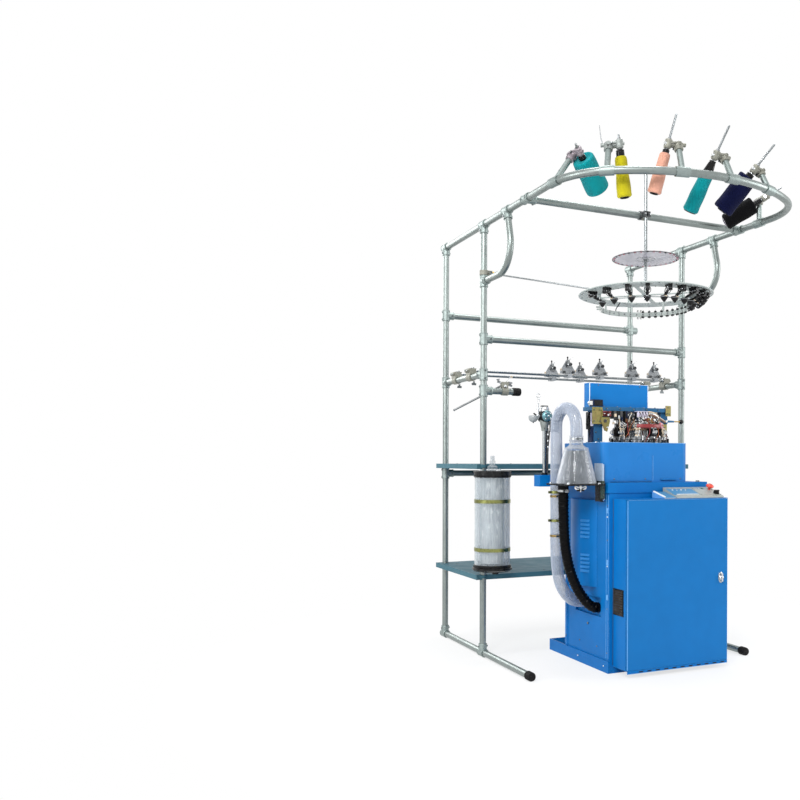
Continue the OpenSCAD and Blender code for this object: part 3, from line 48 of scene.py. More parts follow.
def ray(a, r, z=0.0):
    """Point at an angle in degrees, a radius and a height."""
    t = math.radians(a)
    return V(r * math.cos(t), r * math.sin(t), z)


def numbers(text):
    """Tuples of numbers from text: commas part the tuples."""
    return [tuple(float(n) for n in part.split()) for part in text.split(",")]


# Camera: the photograph's viewpoint, in the part's frame
YAW, PITCH, ROLL = (math.radians(a) for a in (-25.807, -0.277, 0.182))
cam = bpy.data.objects.new("Camera", bpy.data.cameras.new("Camera"))
SCENE.collection.objects.link(cam)
SCENE.camera = cam
ahead = V(-math.sin(YAW) * math.cos(PITCH), math.cos(YAW) * math.cos(PITCH), math.sin(PITCH))
up = V(math.sin(YAW) * math.sin(PITCH), -math.cos(YAW) * math.sin(PITCH), math.cos(PITCH))
side = V(math.cos(YAW), math.sin(YAW), 0)
across = side * math.cos(ROLL) + up * math.sin(ROLL)
upright = up * math.cos(ROLL) - side * math.sin(ROLL)
turn = Matrix((across, upright, -ahead)).transposed().to_4x4()
cam.matrix_world = Matrix.Translation(V(-2.4729, -3.7189, 1.0261)) @ turn
cam.data.sensor_width = 36
cam.data.lens = 38.876
cam.data.shift_x, cam.data.shift_y = -0.15, 0.08
cam.data.clip_end = 60


# Node trees and materials
def lin(c):
    return c / 12.92 if c <= 0.04045 else ((c + 0.055) / 1.055) ** 2.4


def rgb(colour):
    """Linear colour with alpha, from a hex code; a tuple stays as it is."""
    if not isinstance(colour, str):
        return colour
    return tuple(lin(int(colour[i:i + 2], 16) / 255) for i in (1, 3, 5)) + (1.0,)


class Tree:
    """Node tree with helpers that add and wire nodes."""

    def __init__(self, owner):
        owner.use_nodes = True
        self.t = owner.node_tree

    def put(self, socket, value):
        if isinstance(value, bpy.types.NodeSocket):
            self.t.links.new(value, socket)
        else:
            socket.default_value = rgb(value)

    def node(self, kind, **values):
        n = self.t.nodes.new("ShaderNode" + kind)
        for key, value in values.items():
            if key in n.inputs.keys():
                self.put(n.inputs[key], value)
            else:
                setattr(n, key, value)
        return n

    def math(self, op, a, b=0.0):
        n = self.node("Math", operation=op)
        self.put(n.inputs[0], a)
        self.put(n.inputs[1], b)
        return n.outputs[0]

    def span(self, value, lo, hi, a=0.0, b=1.0):
        """Maps the range from lo to hi onto a to b."""
        n = self.node("MapRange", Value=value)
        for key, limit in (("From Min", lo), ("From Max", hi), ("To Min", a), ("To Max", b)):
            self.put(n.inputs[key], limit)
        return n.outputs["Result"]

    def seen_white(self, shader, white, share):
        """Mixes white into a shader for camera, glossy and transmission rays."""
        rays = self.node("LightPath").outputs
        seen = self.math("MAXIMUM", rays["Is Camera Ray"], rays["Is Glossy Ray"])
        seen = self.math("MAXIMUM", seen, rays["Is Transmission Ray"])
        mix = self.node("MixShader")
        for i, value in enumerate((self.math("MULTIPLY", seen, share), shader, white)):
            self.put(mix.inputs[i], value)
        return mix.outputs[0]


class Mat(Tree):
    """Principled material with painted colour, roughness and height."""

    def __init__(self, name, base, rough=0.5, metal=0.0, spec=0.5, coat=0.0, coat_rough=0.1):
        self.m = bpy.data.materials.new(name)
        super().__init__(self.m)
        self.b = self.t.nodes["Principled BSDF"]
        for key, value in (("Base Color", base), ("Roughness", rough), ("Metallic", metal),
                           ("Specular IOR Level", spec), ("Coat Weight", coat),
                           ("Coat Roughness", coat_rough)):
            self.set(key, value)
        self.co = self.node("TexCoord").outputs["Object"]
        self.colour, self.height = rgb(base), None

    def set(self, key, value):
        self.put(self.b.inputs[key], value)

    def noise(self, scale, detail=3.0, rough=0.5, distortion=0.0, stretch=None):
        co = self.co
        if stretch:
            co = self.node("Mapping", Vector=co, Scale=stretch).outputs[0]
        return self.node("TexNoise", Vector=co, Scale=scale, Detail=detail, Roughness=rough,
                         Distortion=distortion).outputs["Fac"]

    def cells(self, scale, out):
        return self.node("TexVoronoi", Vector=self.co, Scale=scale).outputs[out]

    def bands(self, axis, pitch):
        """Ridges across an axis, one for each pitch in metres."""
        along = self.node("SeparateXYZ", Vector=self.co).outputs[axis]
        return self.math("ABSOLUTE", self.math("SINE", self.math("MULTIPLY", along, math.pi / pitch)))

    def tint(self, share, other):
        n = self.node("Mix", data_type="RGBA")
        for i, value in ((0, share), (6, self.colour), (7, other)):
            self.put(n.inputs[i], value)
        self.colour = n.outputs[2]
        return self

    def vary(self, scale, amount, detail=3.0):
        """Lighter and darker patches."""
        value = self.span(self.noise(scale, detail), 0.3, 0.7, 1 - amount, 1 + amount)
        self.colour = self.node("HueSaturation", Value=value, Color=self.colour).outputs[0]
        return self

    def roughen(self, scale, lo, hi, detail=3.0):
        self.set("Roughness", self.span(self.noise(scale, detail), 0.3, 0.7, lo, hi))

    def over(self, n):
        """Lays a bump or bevel node over the height so far."""
        if self.height is not None:
            self.put(n.inputs["Normal"], self.height)
        self.height = n.outputs[0]
        return self

    def bump(self, height, distance, strength=1.0):
        return self.over(self.node("Bump", Height=height, Distance=distance, Strength=strength))

    def soft_edges(self, radius):
        return self.over(self.node("Bevel", Radius=radius, samples=4))

    def wear_and_highlight(self, colour, radius, amount, scale):
        """Rubbed edges with a painted highlight: lighter colour where a rounded normal differs from the true
        one, broken up by noise.
        """
        dot = self.node("VectorMath", operation="DOT_PRODUCT")
        self.put(dot.inputs[0], self.node("Bevel", Radius=radius, samples=4).outputs[0])
        self.put(dot.inputs[1], self.node("NewGeometry").outputs["Normal"])
        edge = self.span(dot.outputs["Value"], 0.995, 0.9)
        share = self.math("MULTIPLY", edge, self.span(self.noise(scale, 4), 0.42, 0.62, 0, amount))
        return self.tint(share, colour)

    def done(self):
        self.set("Base Color", self.colour)
        if self.height is not None:
            self.set("Normal", self.height)
        return self.m


def galvanised(name, base, rough, spangle=150.0):
    m = Mat(name, base, rough, metal=0.9)
    m.vary(6, 0.10).tint(m.span(m.cells(spangle, "Color"), 0, 1, 0.0, 0.30), "#7f898b")
    m.vary(38, 0.07, 5)
    m.roughen(70, rough - 0.07, rough + 0.12, 4)
    m.bump(m.noise(420, 3), 0.0004, 0.25)
    return m.soft_edges(0.0008).done()


def powder(name, base, rough=0.36, edge="#7fb2e6"):
    m = Mat(name, base, rough, spec=0.13, coat=0.03, coat_rough=0.2)
    m.vary(2.2, 0.045).vary(17, 0.025, 4)
    m.tint(m.span(m.noise(9, 6, 0.7), 0.60, 0.80, 0, 0.10), "#1d4f86")
    # Lighter paint along the edges: partly rubbed paint, partly a painted highlight
    m.wear_and_highlight(edge, 0.0016, 0.35, 90)
    m.roughen(12, rough - 0.05, rough + 0.10)
    m.bump(m.noise(520, 2), 0.0003, 0.22).bump(m.noise(26, 2), 0.0012, 0.10)
    return m.soft_edges(0.0018).done()


def plain_metal(name, base, rough, amount=0.12, metal=1.0, grain=(40, 40, 900)):
    m = Mat(name, base, rough, metal)
    m.vary(30, amount, 4)
    streak = m.noise(1.0, 3, stretch=grain)
    m.tint(m.span(streak, 0.35, 0.7, 0, 0.22), (0.22, 0.22, 0.22, 1))
    m.roughen(110, max(0.05, rough - 0.08), rough + 0.12, 3)
    return m.bump(streak, 0.0002, 0.2).soft_edges(0.0006).done()


def moulded(name, base, rough=0.4, dust=0.08, spec=0.5, grain=700.0):
    m = Mat(name, base, rough, spec=spec)
    m.vary(25, 0.06).tint(m.span(m.noise(70, 5, 0.65), 0.52, 0.78, 0, dust), "#9a9a98")
    m.roughen(55, rough - 0.08, rough + 0.12)
    return m.bump(m.noise(grain, 2), 0.0002, 0.25).soft_edges(0.0007).done()


def glossy(name, base):
    m = Mat(name, base, 0.17, spec=0.09)
    m.vary(40, 0.2).tint(m.span(m.noise(120, 4, 0.6), 0.55, 0.75, 0, 0.12), "#2a2a2c")
    m.roughen(60, 0.10, 0.24)
    return m.bump(m.noise(90, 2), 0.0005, 0.2).done()


def clear(name, base, face, side, rough=0.08, streaks=0.0, tint="#ffffff"):
    """See-through plastic: thin seen square on, dense where it is seen along the wall."""
    m = Mat(name, base, rough, spec=0.6)
    facing = m.node("LayerWeight", Blend=0.35).outputs["Facing"]
    dense = m.span(facing, 0.05, 0.95, face, side)
    if streaks:
        lines = m.noise(1.0, 4, stretch=(90, 90, 7))
        dense = m.math("ADD", dense, m.span(lines, 0.45, 0.75, 0, streaks))
    m.set("Alpha", m.math("ADD", dense, m.span(m.noise(22, 4), 0.35, 0.7, -0.03, 0.06)))
    m.tint(m.span(facing, 0.2, 0.9, 0, 0.55), tint).vary(14, 0.05)
    return m.bump(m.noise(35, 3), 0.0008, 0.15).done()


def plated(name, base, rough=0.34):
    """Yellow-passivated zinc with its pink and green bloom."""
    m = Mat(name, base, rough, metal=0.85)
    f = m.noise(34, 4, 0.6, distortion=0.6)
    m.tint(m.span(f, 0.42, 0.62, 0, 0.45), "#8a6d50").tint(m.span(f, 0.36, 0.24, 0, 0.5), "#5f6a44")
    m.vary(90, 0.12)
    m.roughen(80, rough - 0.08, rough + 0.15)
    return m.soft_edges(0.0006).done()


def casting(name, base, rough=0.55):
    m = Mat(name, base, rough, metal=0.45)
    m.vary(60, 0.14, 5).tint(m.span(m.noise(180, 4), 0.5, 0.7, 0, 0.35), "#5c594c")
    m.roughen(120, rough - 0.1, rough + 0.15)
    m.bump(m.noise(380, 4), 0.0006, 0.5).bump(m.noise(70, 2), 0.0012, 0.2)
    return m.soft_edges(0.0012).done()


def yarn(name, base, groove_shade, pitch=0.0011):
    """Wound yarn: two sets of crossing coils round the package's own axis, with a fuzzy sheen; the grooves
    between the coils take a darker colour as painted shade.
    """
    m = Mat(name, base, 0.85, spec=0.08)
    m.set("Sheen Weight", 0.02 if sum(rgb(base)[:3]) < 0.2 else 0.08)
    m.set("Sheen Roughness", 0.5)
    s = m.node("SeparateXYZ", Vector=m.co).outputs
    a = m.math("DIVIDE", m.math("ARCTAN2", s["Y"], s["X"]), 2 * math.pi)
    z = m.math("DIVIDE", s["Z"], pitch)
    wobble = m.math("MULTIPLY", m.noise(60, 2), 1.4)
    coil = m.node("Mix", data_type="FLOAT", Factor=m.math("GREATER_THAN", m.noise(26, 1), 0.5))
    for i, turns in ((2, 10.0), (3, -10.0)):
        k = m.math("ADD", m.math("ADD", z, m.math("MULTIPLY", a, turns)), wobble)
        m.put(coil.inputs[i], m.math("ABSOLUTE", m.math("SINE", m.math("MULTIPLY", k, math.pi))))
    h = coil.outputs[0]
    # Darker colour in the grooves between the coils: painted shade
    m.tint(m.span(h, 0.0, 0.5, 0.55, 0), groove_shade).vary(45, 0.07).vary(9, 0.05)
    return m.bump(h, 0.0006, 0.8).bump(m.noise(900, 3), 0.0004, 0.5).done()


def speckled(name, base):
    m = Mat(name, base, 0.35, coat=0.2)
    m.tint(m.span(m.cells(420, "Distance"), 0.10, 0.28, 0.55, 0), "#6f7268")
    m.tint(m.span(m.noise(260, 5, 0.7), 0.55, 0.7, 0, 0.6), "#c4c3b8").vary(20, 0.06)
    m.roughen(90, 0.28, 0.5)
    return m.bump(m.noise(320, 3), 0.0003, 0.3).soft_edges(0.0008).done()


def netting(name, base, holes):
    """Grey netting seen through plastic: vertical streaks with gaps. The dark streaks are partly netting and
    partly a painted reflection of dark parts seen through the plastic; the white streaks are painted
    highlights.
    """
    m = Mat(name, base, 0.6, spec=0.4)
    s = m.noise(1.0, 5, 0.6, stretch=(95, 95, 14))
    # Dark streaks, then white streaks of painted highlight
    m.tint(m.span(s, 0.35, 0.62, 0.75, 0), "#232829").tint(m.span(s, 0.58, 0.72, 0, 0.9), "#dfe5e8")
    m.set("Alpha", m.span(m.noise(1.0, 4, stretch=(60, 60, 18)), 0.30, 0.62, holes, 0.98))
    return m.bump(s, 0.002, 0.6).done()


def mesh_cloth(name, base):
    """White filter mesh: fine threads with vertical streaks of lint."""
    m = Mat(name, base, 0.8, spec=0.2)
    rows = m.bands("Z", 0.0022)
    m.tint(m.span(rows, 0, 0.4, 0.4, 0), "#8d989c")
    m.tint(m.span(m.noise(1.0, 5, 0.65, stretch=(120, 120, 8)), 0.45, 0.65, 0, 0.75), "#7d878c")
    m.tint(m.span(m.noise(1.0, 4, 0.6, stretch=(60, 60, 20)), 0.56, 0.66, 0, 0.8), "#ffffff")
    return m.bump(rows, 0.0006, 0.6).bump(m.noise(1.0, 4, stretch=(150, 150, 10)), 0.003, 0.7).done()


# Every material: its maker, then its name with what the maker is told
MAKERS = {
    galvanised: {"galv": ("#8a928f", 0.36), "fitting": ("#929d9a", 0.46, 110)},
    plain_metal: {
        "rod": ("#8f9496", 0.26, 0.12, 1.0, (30, 900, 900)), "chrome": ("#dfe2e4", 0.10, 0.06),
        "steel": ("#b7bbbe", 0.28), "dull_steel": ("#85888a", 0.42, 0.2),
        "dark_steel": ("#4a4c4e", 0.38, 0.25), "screw": ("#6a7072", 0.35), "brassy": ("#b2924a", 0.28, 0.2),
        "band": ("#878a4e", 0.28, 0.3), "copper": ("#a8643e", 0.3, 0.2), "bronze": ("#8d7660", 0.36, 0.25),
        "teal_metal": ("#5f8a93", 0.3, 0.2, 0.7)},
    casting: {"cast": ("#8a8a80",), "cast_grey": ("#8e9491", 0.45), "mauve": ("#938a90", 0.45)},
    powder: {
        "blue": ("#0467ad",), "blue_door": ("#0f68a9", 0.34), "blue_head": ("#0e6fb6", 0.34),
        "blue_case": ("#2270b4", 0.30), "louvre_blue": ("#2f7fc4", 0.3), "steel_blue": ("#2a5e85", 0.4),
        "navy": ("#101f3e", 0.4, "#44679a"), "shelf": ("#3d6470", 0.5, "#8fb0b8"),
        "slate": ("#4d86ad", 0.3, "#dfe8f0")},
    moulded: {
        "rubber": ("#111112", 0.62, 0.08, 0.15, 260), "black": ("#0e0f10", 0.28, 0.08, 0.24),
        "black_gloss": ("#08080a", 0.12, 0.02, 0.3), "grey_plastic": ("#9a9d9f",),
        "white_plastic": ("#e4e4e0", 0.38), "cream": ("#d6c3a8", 0.42), "brown": ("#6e4a30", 0.35),
        "red": ("#7e2326", 0.35), "pink": ("#b5606c",), "coral": ("#dc4a38", 0.3), "green": ("#1d5a38", 0.35),
        # edge_blue: a lighter copy of the blue paint, for strips and small parts that stand for highlights
        "disc": ("#a9b1ad", 0.38, 0.15), "edge_blue": ("#5d9bd2", 0.3, 0.1),
        "vent_wire": ("#2b241d", 0.5, 0.3),
        # pale_edge: pale paint for the strips that stand for highlights on the head cover's edges
        "lilac": ("#c9c3d4", 0.35), "pale_edge": ("#dfeaf6", 0.25, 0.0), "strap": ("#9fb0c4", 0.3, 0.2),
        "clamp_green": ("#24382f",), "smoke": ("#8f9496", 0.25, 0.2), "control": ("#c9c6b4", 0.45)},
    clear: {
        "guide": ("#b7b2bc", 0.52, 0.80, 0.25, 0.0, "#cbc7d0"),
        "clear": ("#a3adbd", 0.34, 0.95, 0.12, 0.10, "#e9edf8"),
        "funnel": ("#b4bac2", 0.12, 0.88, 0.06, 0.10, "#f4f6fa"),
        "bowl": ("#a4aeb4", 0.22, 0.85, 0.05, 0.06, "#f0f4f4")},
    plated: {"zinc": ("#8a8450",)},
    netting: {"smudge": ("#8e97a8", 0.0), "netting": ("#33393c", 0.84)},
    glossy: {"hose_black": ("#050506",)},
    mesh_cloth: {"mesh": ("#d3d8da",)},
    speckled: {"panel": ("#969c98",)},
}
M = {name: maker(name, *told) for maker, rows in MAKERS.items() for name, told in rows.items()}
NODE_MATERIALS = {
    "galv": "floor_rails front_posts back_posts creel_ring curved_braces cross_bars side_rails",
    "fitting": "pipe_tees cone_stubs",
    "screw": "set_screws",
    "rod": "guide_rods hanger_rod cone_shafts stand_rod",
    "cast": "rod_blocks cone_clamps",
    "grey_plastic": "tension_plates",
    "dull_steel": "yarn_tensioners cam_ring",
    "guide": "guide_disc",
    "disc": "feeder_disc eyelet_ring",
    "black": "feeder_units cone_cores filter_caps vent_grille funnel_plate selector_knob actuators",
    "rubber": "rubber_caps",
    "hose_black": "black_hose",
    "band": "metal_bands",
    "shelf": "shelves",
    "bowl": "filter_bowl",
    "mesh": "filter_mesh",
    "blue": "machine_base cabinet_body duct_cover front_box box_plates bed_plate bracket_arm",
    "blue_case": "casing",
    "blue_door": "front_door",
    "blue_head": "head_cover",
    "steel_blue": "head_frame head_lever",
    "chrome": "door_lock needles dial",
    "steel": "needle_cylinder",
    "panel": "control_panel",
    "coral": "estop_button",
    "cast_grey": "air_regulator",
    "clear": "clear_hose",
    "funnel": "funnel",
    "zinc": "brass_brackets",
    "copper": "yarn_fingers",
    "control": "control_unit",
    "cream": "yarn_cones",
}
for material, names in NODE_MATERIALS.items():
    for name in names.split():
        slots = NODES[name].data.materials
        if not slots:
            slots.append(M[material])
        for i in range(len(slots)):
            slots[i] = M[material]

# Floor and backdrop
WHITE = (1, 1, 1, 1)
PAPER = (0.86, 0.86, 0.86, 1)
HALF = 30
floor_mesh = bpy.data.meshes.new("floor")
corners = [(-HALF, -HALF, 0), (HALF, -HALF, 0), (HALF, HALF, 0), (-HALF, HALF, 0)]
floor_mesh.from_pydata(corners, [], [(0, 1, 2, 3)])
floor = bpy.data.objects.new("floor", floor_mesh)
SCENE.collection.objects.link(floor)
paper = Mat("floor_paper", PAPER, 0.9, spec=0.0)
# The floor's own shading, and with it the shadow, fades out away from the machine
away = paper.node("VectorMath", operation="LENGTH")
paper.put(away.inputs[0], paper.node("NewGeometry").outputs["Position"])
fade = paper.span(away.outputs["Value"], 0.7, 2.3, 0.70, 1.0)
seen = paper.seen_white(paper.b.outputs[0], paper.node("Emission", Color=WHITE).outputs[0], fade)
paper.put(paper.t.nodes["Material Output"].inputs[0], seen)
floor_mesh.materials.append(paper.m)

world = bpy.data.worlds.new("World")
SCENE.world = world
sky = Tree(world)
soft = sky.t.nodes["Background"]
sky.put(soft.inputs["Color"], (0.93, 0.96, 1.0, 1))
sky.put(soft.inputs["Strength"], 0.62)
seen = sky.seen_white(soft.outputs[0], sky.node("Background", Color=WHITE).outputs[0], 1.0)
sky.put(sky.t.nodes["World Output"].inputs[0], seen)

# Lamps: name, place, size and watts; all face the machine's middle
MIDDLE = V(0, 0, 1.1)
for name, at, size, watts in (("key", (-3.8, -4.2, 4.4), 2.2, 262), ("side", (-5.2, -0.6, 2.2), 2.6, 90),
                              ("fill", (4.6, -2.6, 2.4), 3.0, 110), ("top", (0.4, 0.6, 5.6), 2.6, 120),
                              ("back", (-2.0, 5.0, 3.2), 3.0, 110)):
    light = bpy.data.lights.new(name, "AREA")
    light.shape, light.size, light.energy = "DISK", size, watts
    lamp = bpy.data.objects.new(name, light)
    SCENE.collection.objects.link(lamp)
    lamp.location = at
    lamp.rotation_euler = (MIDDLE - Vector(at)).to_track_quat("-Z", "Y").to_euler()


def tube_faces(rows, n, base=0, loop=False):
    """Quads between closed rows of n points; loop joins the last row to the first."""
    return [(base + i * n + j, base + i * n + (j + 1) % n, base + (i + 1) % rows * n + (j + 1) % n,
             base + (i + 1) % rows * n + j) for i in range(rows if loop else rows - 1) for j in range(n)]


# Mesh building in millimetres. One kit makes one piece, with one or more materials.
class Kit:
    def __init__(self, name, mats, slot=None, body="machine"):
        self.name, self.body, self.slot = name, body, slot
        self.mats = [M[m] for m in mats.split()]
        self.verts, self.faces, self.index = [], [], []
        self.frame = Matrix.Identity(4)

    def at(self, origin=(0, 0, 0), z=Z, x=None):
        """Local frame: its Z along z, its X towards x."""
        z = Vector(z).normalized()
        if x is None:
            x = X if abs(z.x) < 0.9 else Y
        x = (x - z * z.dot(x)).normalized()
        turn = Matrix((x, z.cross(x), z)).transposed().to_4x4()
        self.frame = Matrix.Translation(Vector(origin)) @ turn
        return self

    def step_in(self, origin, axis):
        """Enters a frame given in the present one, which it returns."""
        keep = self.frame
        self.at(keep @ Vector(origin), keep.to_3x3() @ Vector(axis))
        return keep

    def add(self, points, faces, m=0):
        k = len(self.verts)
        self.verts += [self.frame @ Vector(p) for p in points]
        self.faces += [tuple(k + i for i in f) for f in faces]
        self.index += [m] * len(faces)

    def box(self, lo, hi, m=0):
        (a, b, c), (d, e, f) = lo, hi
        points = [(a, b, c), (d, b, c), (d, e, c), (a, e, c), (a, b, f), (d, b, f), (d, e, f), (a, e, f)]
        faces = [(0, 3, 2, 1), (4, 5, 6, 7), (0, 1, 5, 4), (1, 2, 6, 5), (2, 3, 7, 6), (3, 0, 4, 7)]
        self.add(points, faces, m)

    def block(self, centre, size, m=0):
        c, half = Vector(centre), Vector(size) / 2
        self.box(c - half, c + half, m)

    def boxes(self, *rows):
        """Boxes by their low corner, high corner and material."""
        for row in rows:
            self.box(row[:3], row[3:6], row[6])

    def lathe(self, profile, n=24, m=0, a0=0.0, a1=360.0):
        """Profile of radii and heights turned round the local Z, from a0 to a1."""
        if isinstance(profile, str):
            profile = numbers(profile)
        cols = n if a1 - a0 >= 359.9 else n + 1
        pts, rows, faces = [], [], []
        for r, z in profile:
            if r < 1e-6:
                rows.append([len(pts)] * cols)
                pts.append((0, 0, z))
            else:
                rows.append(list(range(len(pts), len(pts) + cols)))
                pts += [ray(a0 + (a1 - a0) * i / n, r, z) for i in range(cols)]
        for low, high in zip(rows, rows[1:]):
            for i in range(n):
                k = (i + 1) % cols
                f = [low[i], low[k], high[k], high[i]]
                f = [v for t, v in enumerate(f) if v not in f[:t]]
                if len(f) > 2:
                    faces.append(f)
        self.add(pts, faces, m)

    def turned(self, origin, axis, profile, n=24, m=0):
        """Profile turned round an axis of the local frame."""
        keep = self.step_in(origin, axis)
        self.lathe(profile, n, m)
        self.frame = keep

    def rod(self, a, b, r, r1=None, n=16, m=0):
        """Round bar from a to b, closed at both ends."""
        d = Vector(b) - Vector(a)
        self.turned(a, d, [(0, 0), (r, 0), (r if r1 is None else r1, d.length), (0, d.length)], n, m)

    def ball(self, c, r, n=16, m=0):
        k = max(6, n // 2)
        arc = [ray(180 * i / k - 90, r) for i in range(1, k)]
        self.turned(c, Z, [(0, -r)] + [(p.x, p.y) for p in arc] + [(0, r)], n, m)

    def ring(self, origin, axis, major, minor, n=32, k=10, m=0):
        keep = self.step_in(origin, axis)
        pts = []
        for i in range(n):
            for j in range(k):
                b = 2 * math.pi * j / k
                pts.append(ray(360 * i / n, major + minor * math.cos(b), minor * math.sin(b)))
        self.add(pts, [(a, d, c, b) for a, b, c, d in tube_faces(n, k, loop=True)], m)
        self.frame = keep

    def sweep(self, path, r, n=12, m=0, wall=0.0):
        """Tube along a path; r is a number or a function of the share of the way."""
        path = [Vector(q) for q in path]
        count, u, sides = len(path), None, []
        for i in range(count):
            d = (path[min(i + 1, count - 1)] - path[max(i - 1, 0)]).normalized()
            if u is None:
                u = d.cross(V(0.31, 0.52, 0.79)).normalized()
            u = (u - d * u.dot(d)).normalized()
            sides.append((u, d.cross(u)))
        pts, faces = [], []
        for w in (0.0, wall) if wall else (0.0,):
            tube = tube_faces(count, n, len(pts))
            faces += [f[::-1] for f in tube] if w else tube
            for i, (u, v) in enumerate(sides):
                rr = (r(i / (count - 1)) if callable(r) else r) - w
                for j in range(n):
                    a = 2 * math.pi * j / n
                    pts.append(path[i] + u * math.cos(a) * rr + v * math.sin(a) * rr)
        last, inner = (count - 1) * n, count * n
        if wall:
            for j in range(n):
                k = (j + 1) % n
                faces += [(j, inner + j, inner + k, k),
                          (last + j, last + k, inner + last + k, inner + last + j)]
        else:
            faces += [range(n - 1, -1, -1), range(last, last + n)]
        self.add(pts, faces, m)

    def wire(self, text, r, m=0, n=8, step=4):
        """Smooth wire through the points in a text."""
        self.sweep(spline(numbers(text), step), r, n, m)

    def strip(self, a, b, count, r, m=0, n=8):
        """Straight thin bar with rows of points along it."""
        a, b = Vector(a), Vector(b)
        self.sweep([a + (b - a) * i / (count - 1) for i in range(count)], r, n, m)

    def coil(self, a, b, major, minor, turns, m=0, n=8, per=14):
        d = Vector(b) - Vector(a)
        keep = self.step_in(a, d)
        steps = int(turns * per)
        self.sweep([ray(360 * i / per, major, d.length * i / steps) for i in range(steps + 1)], minor, n, m)
        self.frame = keep

    def prism(self, outline, shift, m=0, flip=False):
        """Solid between an outline and its copy moved by shift."""
        q = len(outline)
        faces = [tuple(range(q)), tuple(range(2 * q - 1, q - 1, -1))]
        faces += [(i, q + i, q + (i + 1) % q, (i + 1) % q) for i in range(q)]
        near = [Vector(p) for p in outline]
        self.add(near + [p + Vector(shift) for p in near], [f[::-1] if flip else f for f in faces], m)

    def hexbolt(self, p, axis, d=8.0, h=5.0, m=0):
        """Hexagon head on a washer."""
        self.turned(p, axis, [(0, -0.5), (d * 1.05, -0.5), (d * 1.05, 1), (0, 1)], 20, m)
        self.turned(p, axis, [(0, 1), (d * 0.85, 1), (d * 0.85, h - 1), (d * 0.7, h), (0, h)], 6, m)

    def screw(self, p, axis, d=6.0, h=2.5, m=0):
        """Pan head with a cross recess."""
        self.turned(p, axis, [(0, -0.5), (d / 2, -0.5), (d / 2, h * 0.45), (d * 0.36, h * 0.9), (d * 0.14, h),
                              (d * 0.12, h * 0.45), (0, h * 0.4)], 16, m)

    def socket(self, p, axis, d=9.0, h=8.0, m=0):
        """Cap screw with a deep hexagon recess."""
        self.turned(p, axis, [(0, -0.5), (d / 2, -0.5), (d / 2, h - 0.6), (d / 2 - 0.6, h), (d * 0.27, h),
                              (d * 0.25, h * 0.45), (0, h * 0.45)], 18, m)

    def make(self, bevel=0.5, angle=38.0, place=None):
        me = bpy.data.meshes.new(self.name)
        me.from_pydata([tuple(v * 0.001) for v in self.verts], [], self.faces)
        for material in self.mats:
            me.materials.append(material)
        me.polygons.foreach_set("material_index", self.index)
        me.validate()
        me.shade_smooth()
        me.set_sharp_from_angle(angle=math.radians(angle))
        ob = bpy.data.objects.new(self.name, me)
        SCENE.collection.objects.link(ob)
        if place is not None:
            ob.matrix_world = place
        if bevel:
            b = ob.modifiers.new("edges", "BEVEL")
            b.width, b.segments = bevel * 0.001, 2
            b.limit_method, b.angle_limit = "ANGLE", math.radians(42)
            b.harden_normals = b.use_clamp_overlap = True
        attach(ob, self.body)
        return ob


def placed(origin, z):
    """Matrix, in metres, of a frame at a point in millimetres with its Z along z."""
    m = Kit("", "").at(origin, z).frame.copy()
    m.translation = m.translation * 0.001
    return m


def spline(points, step=10.0):
    """Smooth path through points, in short steps."""
    p = [Vector(q) for q in points]
    p = [2 * p[0] - p[1]] + p + [2 * p[-1] - p[-2]]
    out = []
    for i in range(1, len(p) - 2):
        a, b, c, d = p[i - 1:i + 3]
        k = max(1, int((c - b).length / step))
        for j in range(k):
            t = j / k
            out.append(0.5 * ((2 * b) + (c - a) * t + (2 * a - 5 * b + 4 * c - d) * t * t
                              + (3 * b - 3 * c + d - a) * t ** 3))
    return out + [p[-2]]


# Creel: places and sizes that the source uses, in millimetres
TUBE, FIT = 34.0, 43.0
RAIL_Z, STUB_Z = 1470.0, 1386.0
CX, CW, POST_Y, BACK_Y, ARM_Z = -55.0, 1258.0, 420.0, 969.0, 2250.0
LEFT, RIGHT = CX - CW / 2, CX + CW / 2
NOSE_R, CORNER_R = 900.0, 330.0
NOSE_CY = POST_Y - 1155 + NOSE_R
CORNER_DX = CW / 2 - CORNER_R
CORNER_A = math.degrees(math.asin(CORNER_DX / (NOSE_R - CORNER_R)))
CORNER_CY = NOSE_CY - (NOSE_R - CORNER_R) * math.cos(math.radians(CORNER_A))
HX, HY = -36.0, -109.0


def ring_point(a, back=0.0):
    s = 1 if a > 0 else -1
    c, r = ((CX, NOSE_CY), NOSE_R) if abs(a) <= CORNER_A else ((CX + s * CORNER_DX, CORNER_CY), CORNER_R)
    t = math.radians(a)
    return V(c[0] + r * math.sin(t), c[1] - r * math.cos(t) + back, ARM_Z)


def polar(a, r, z):
    """Point round the hanging rod's axis."""
    return V(HX, HY, 0) + ray(a, r, z)


# Ring and braces: bent tubes, open at the ends
arm_end = BACK_Y + 31
path = [V(LEFT, arm_end - 60 * i, ARM_Z) for i in range(13)]
path = [p for p in path if p.y > CORNER_CY + 20]
ring = path + [ring_point(-90 + i * 2.0) for i in range(91)]
ring += [V(RIGHT, p.y, ARM_Z) for p in reversed(path)]
k = Kit("ring_tube", "galv", slot="galvanised_tube")
k.sweep(ring, TUBE / 2, 28, wall=2.5)
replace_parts(k.make(0), "creel_ring")

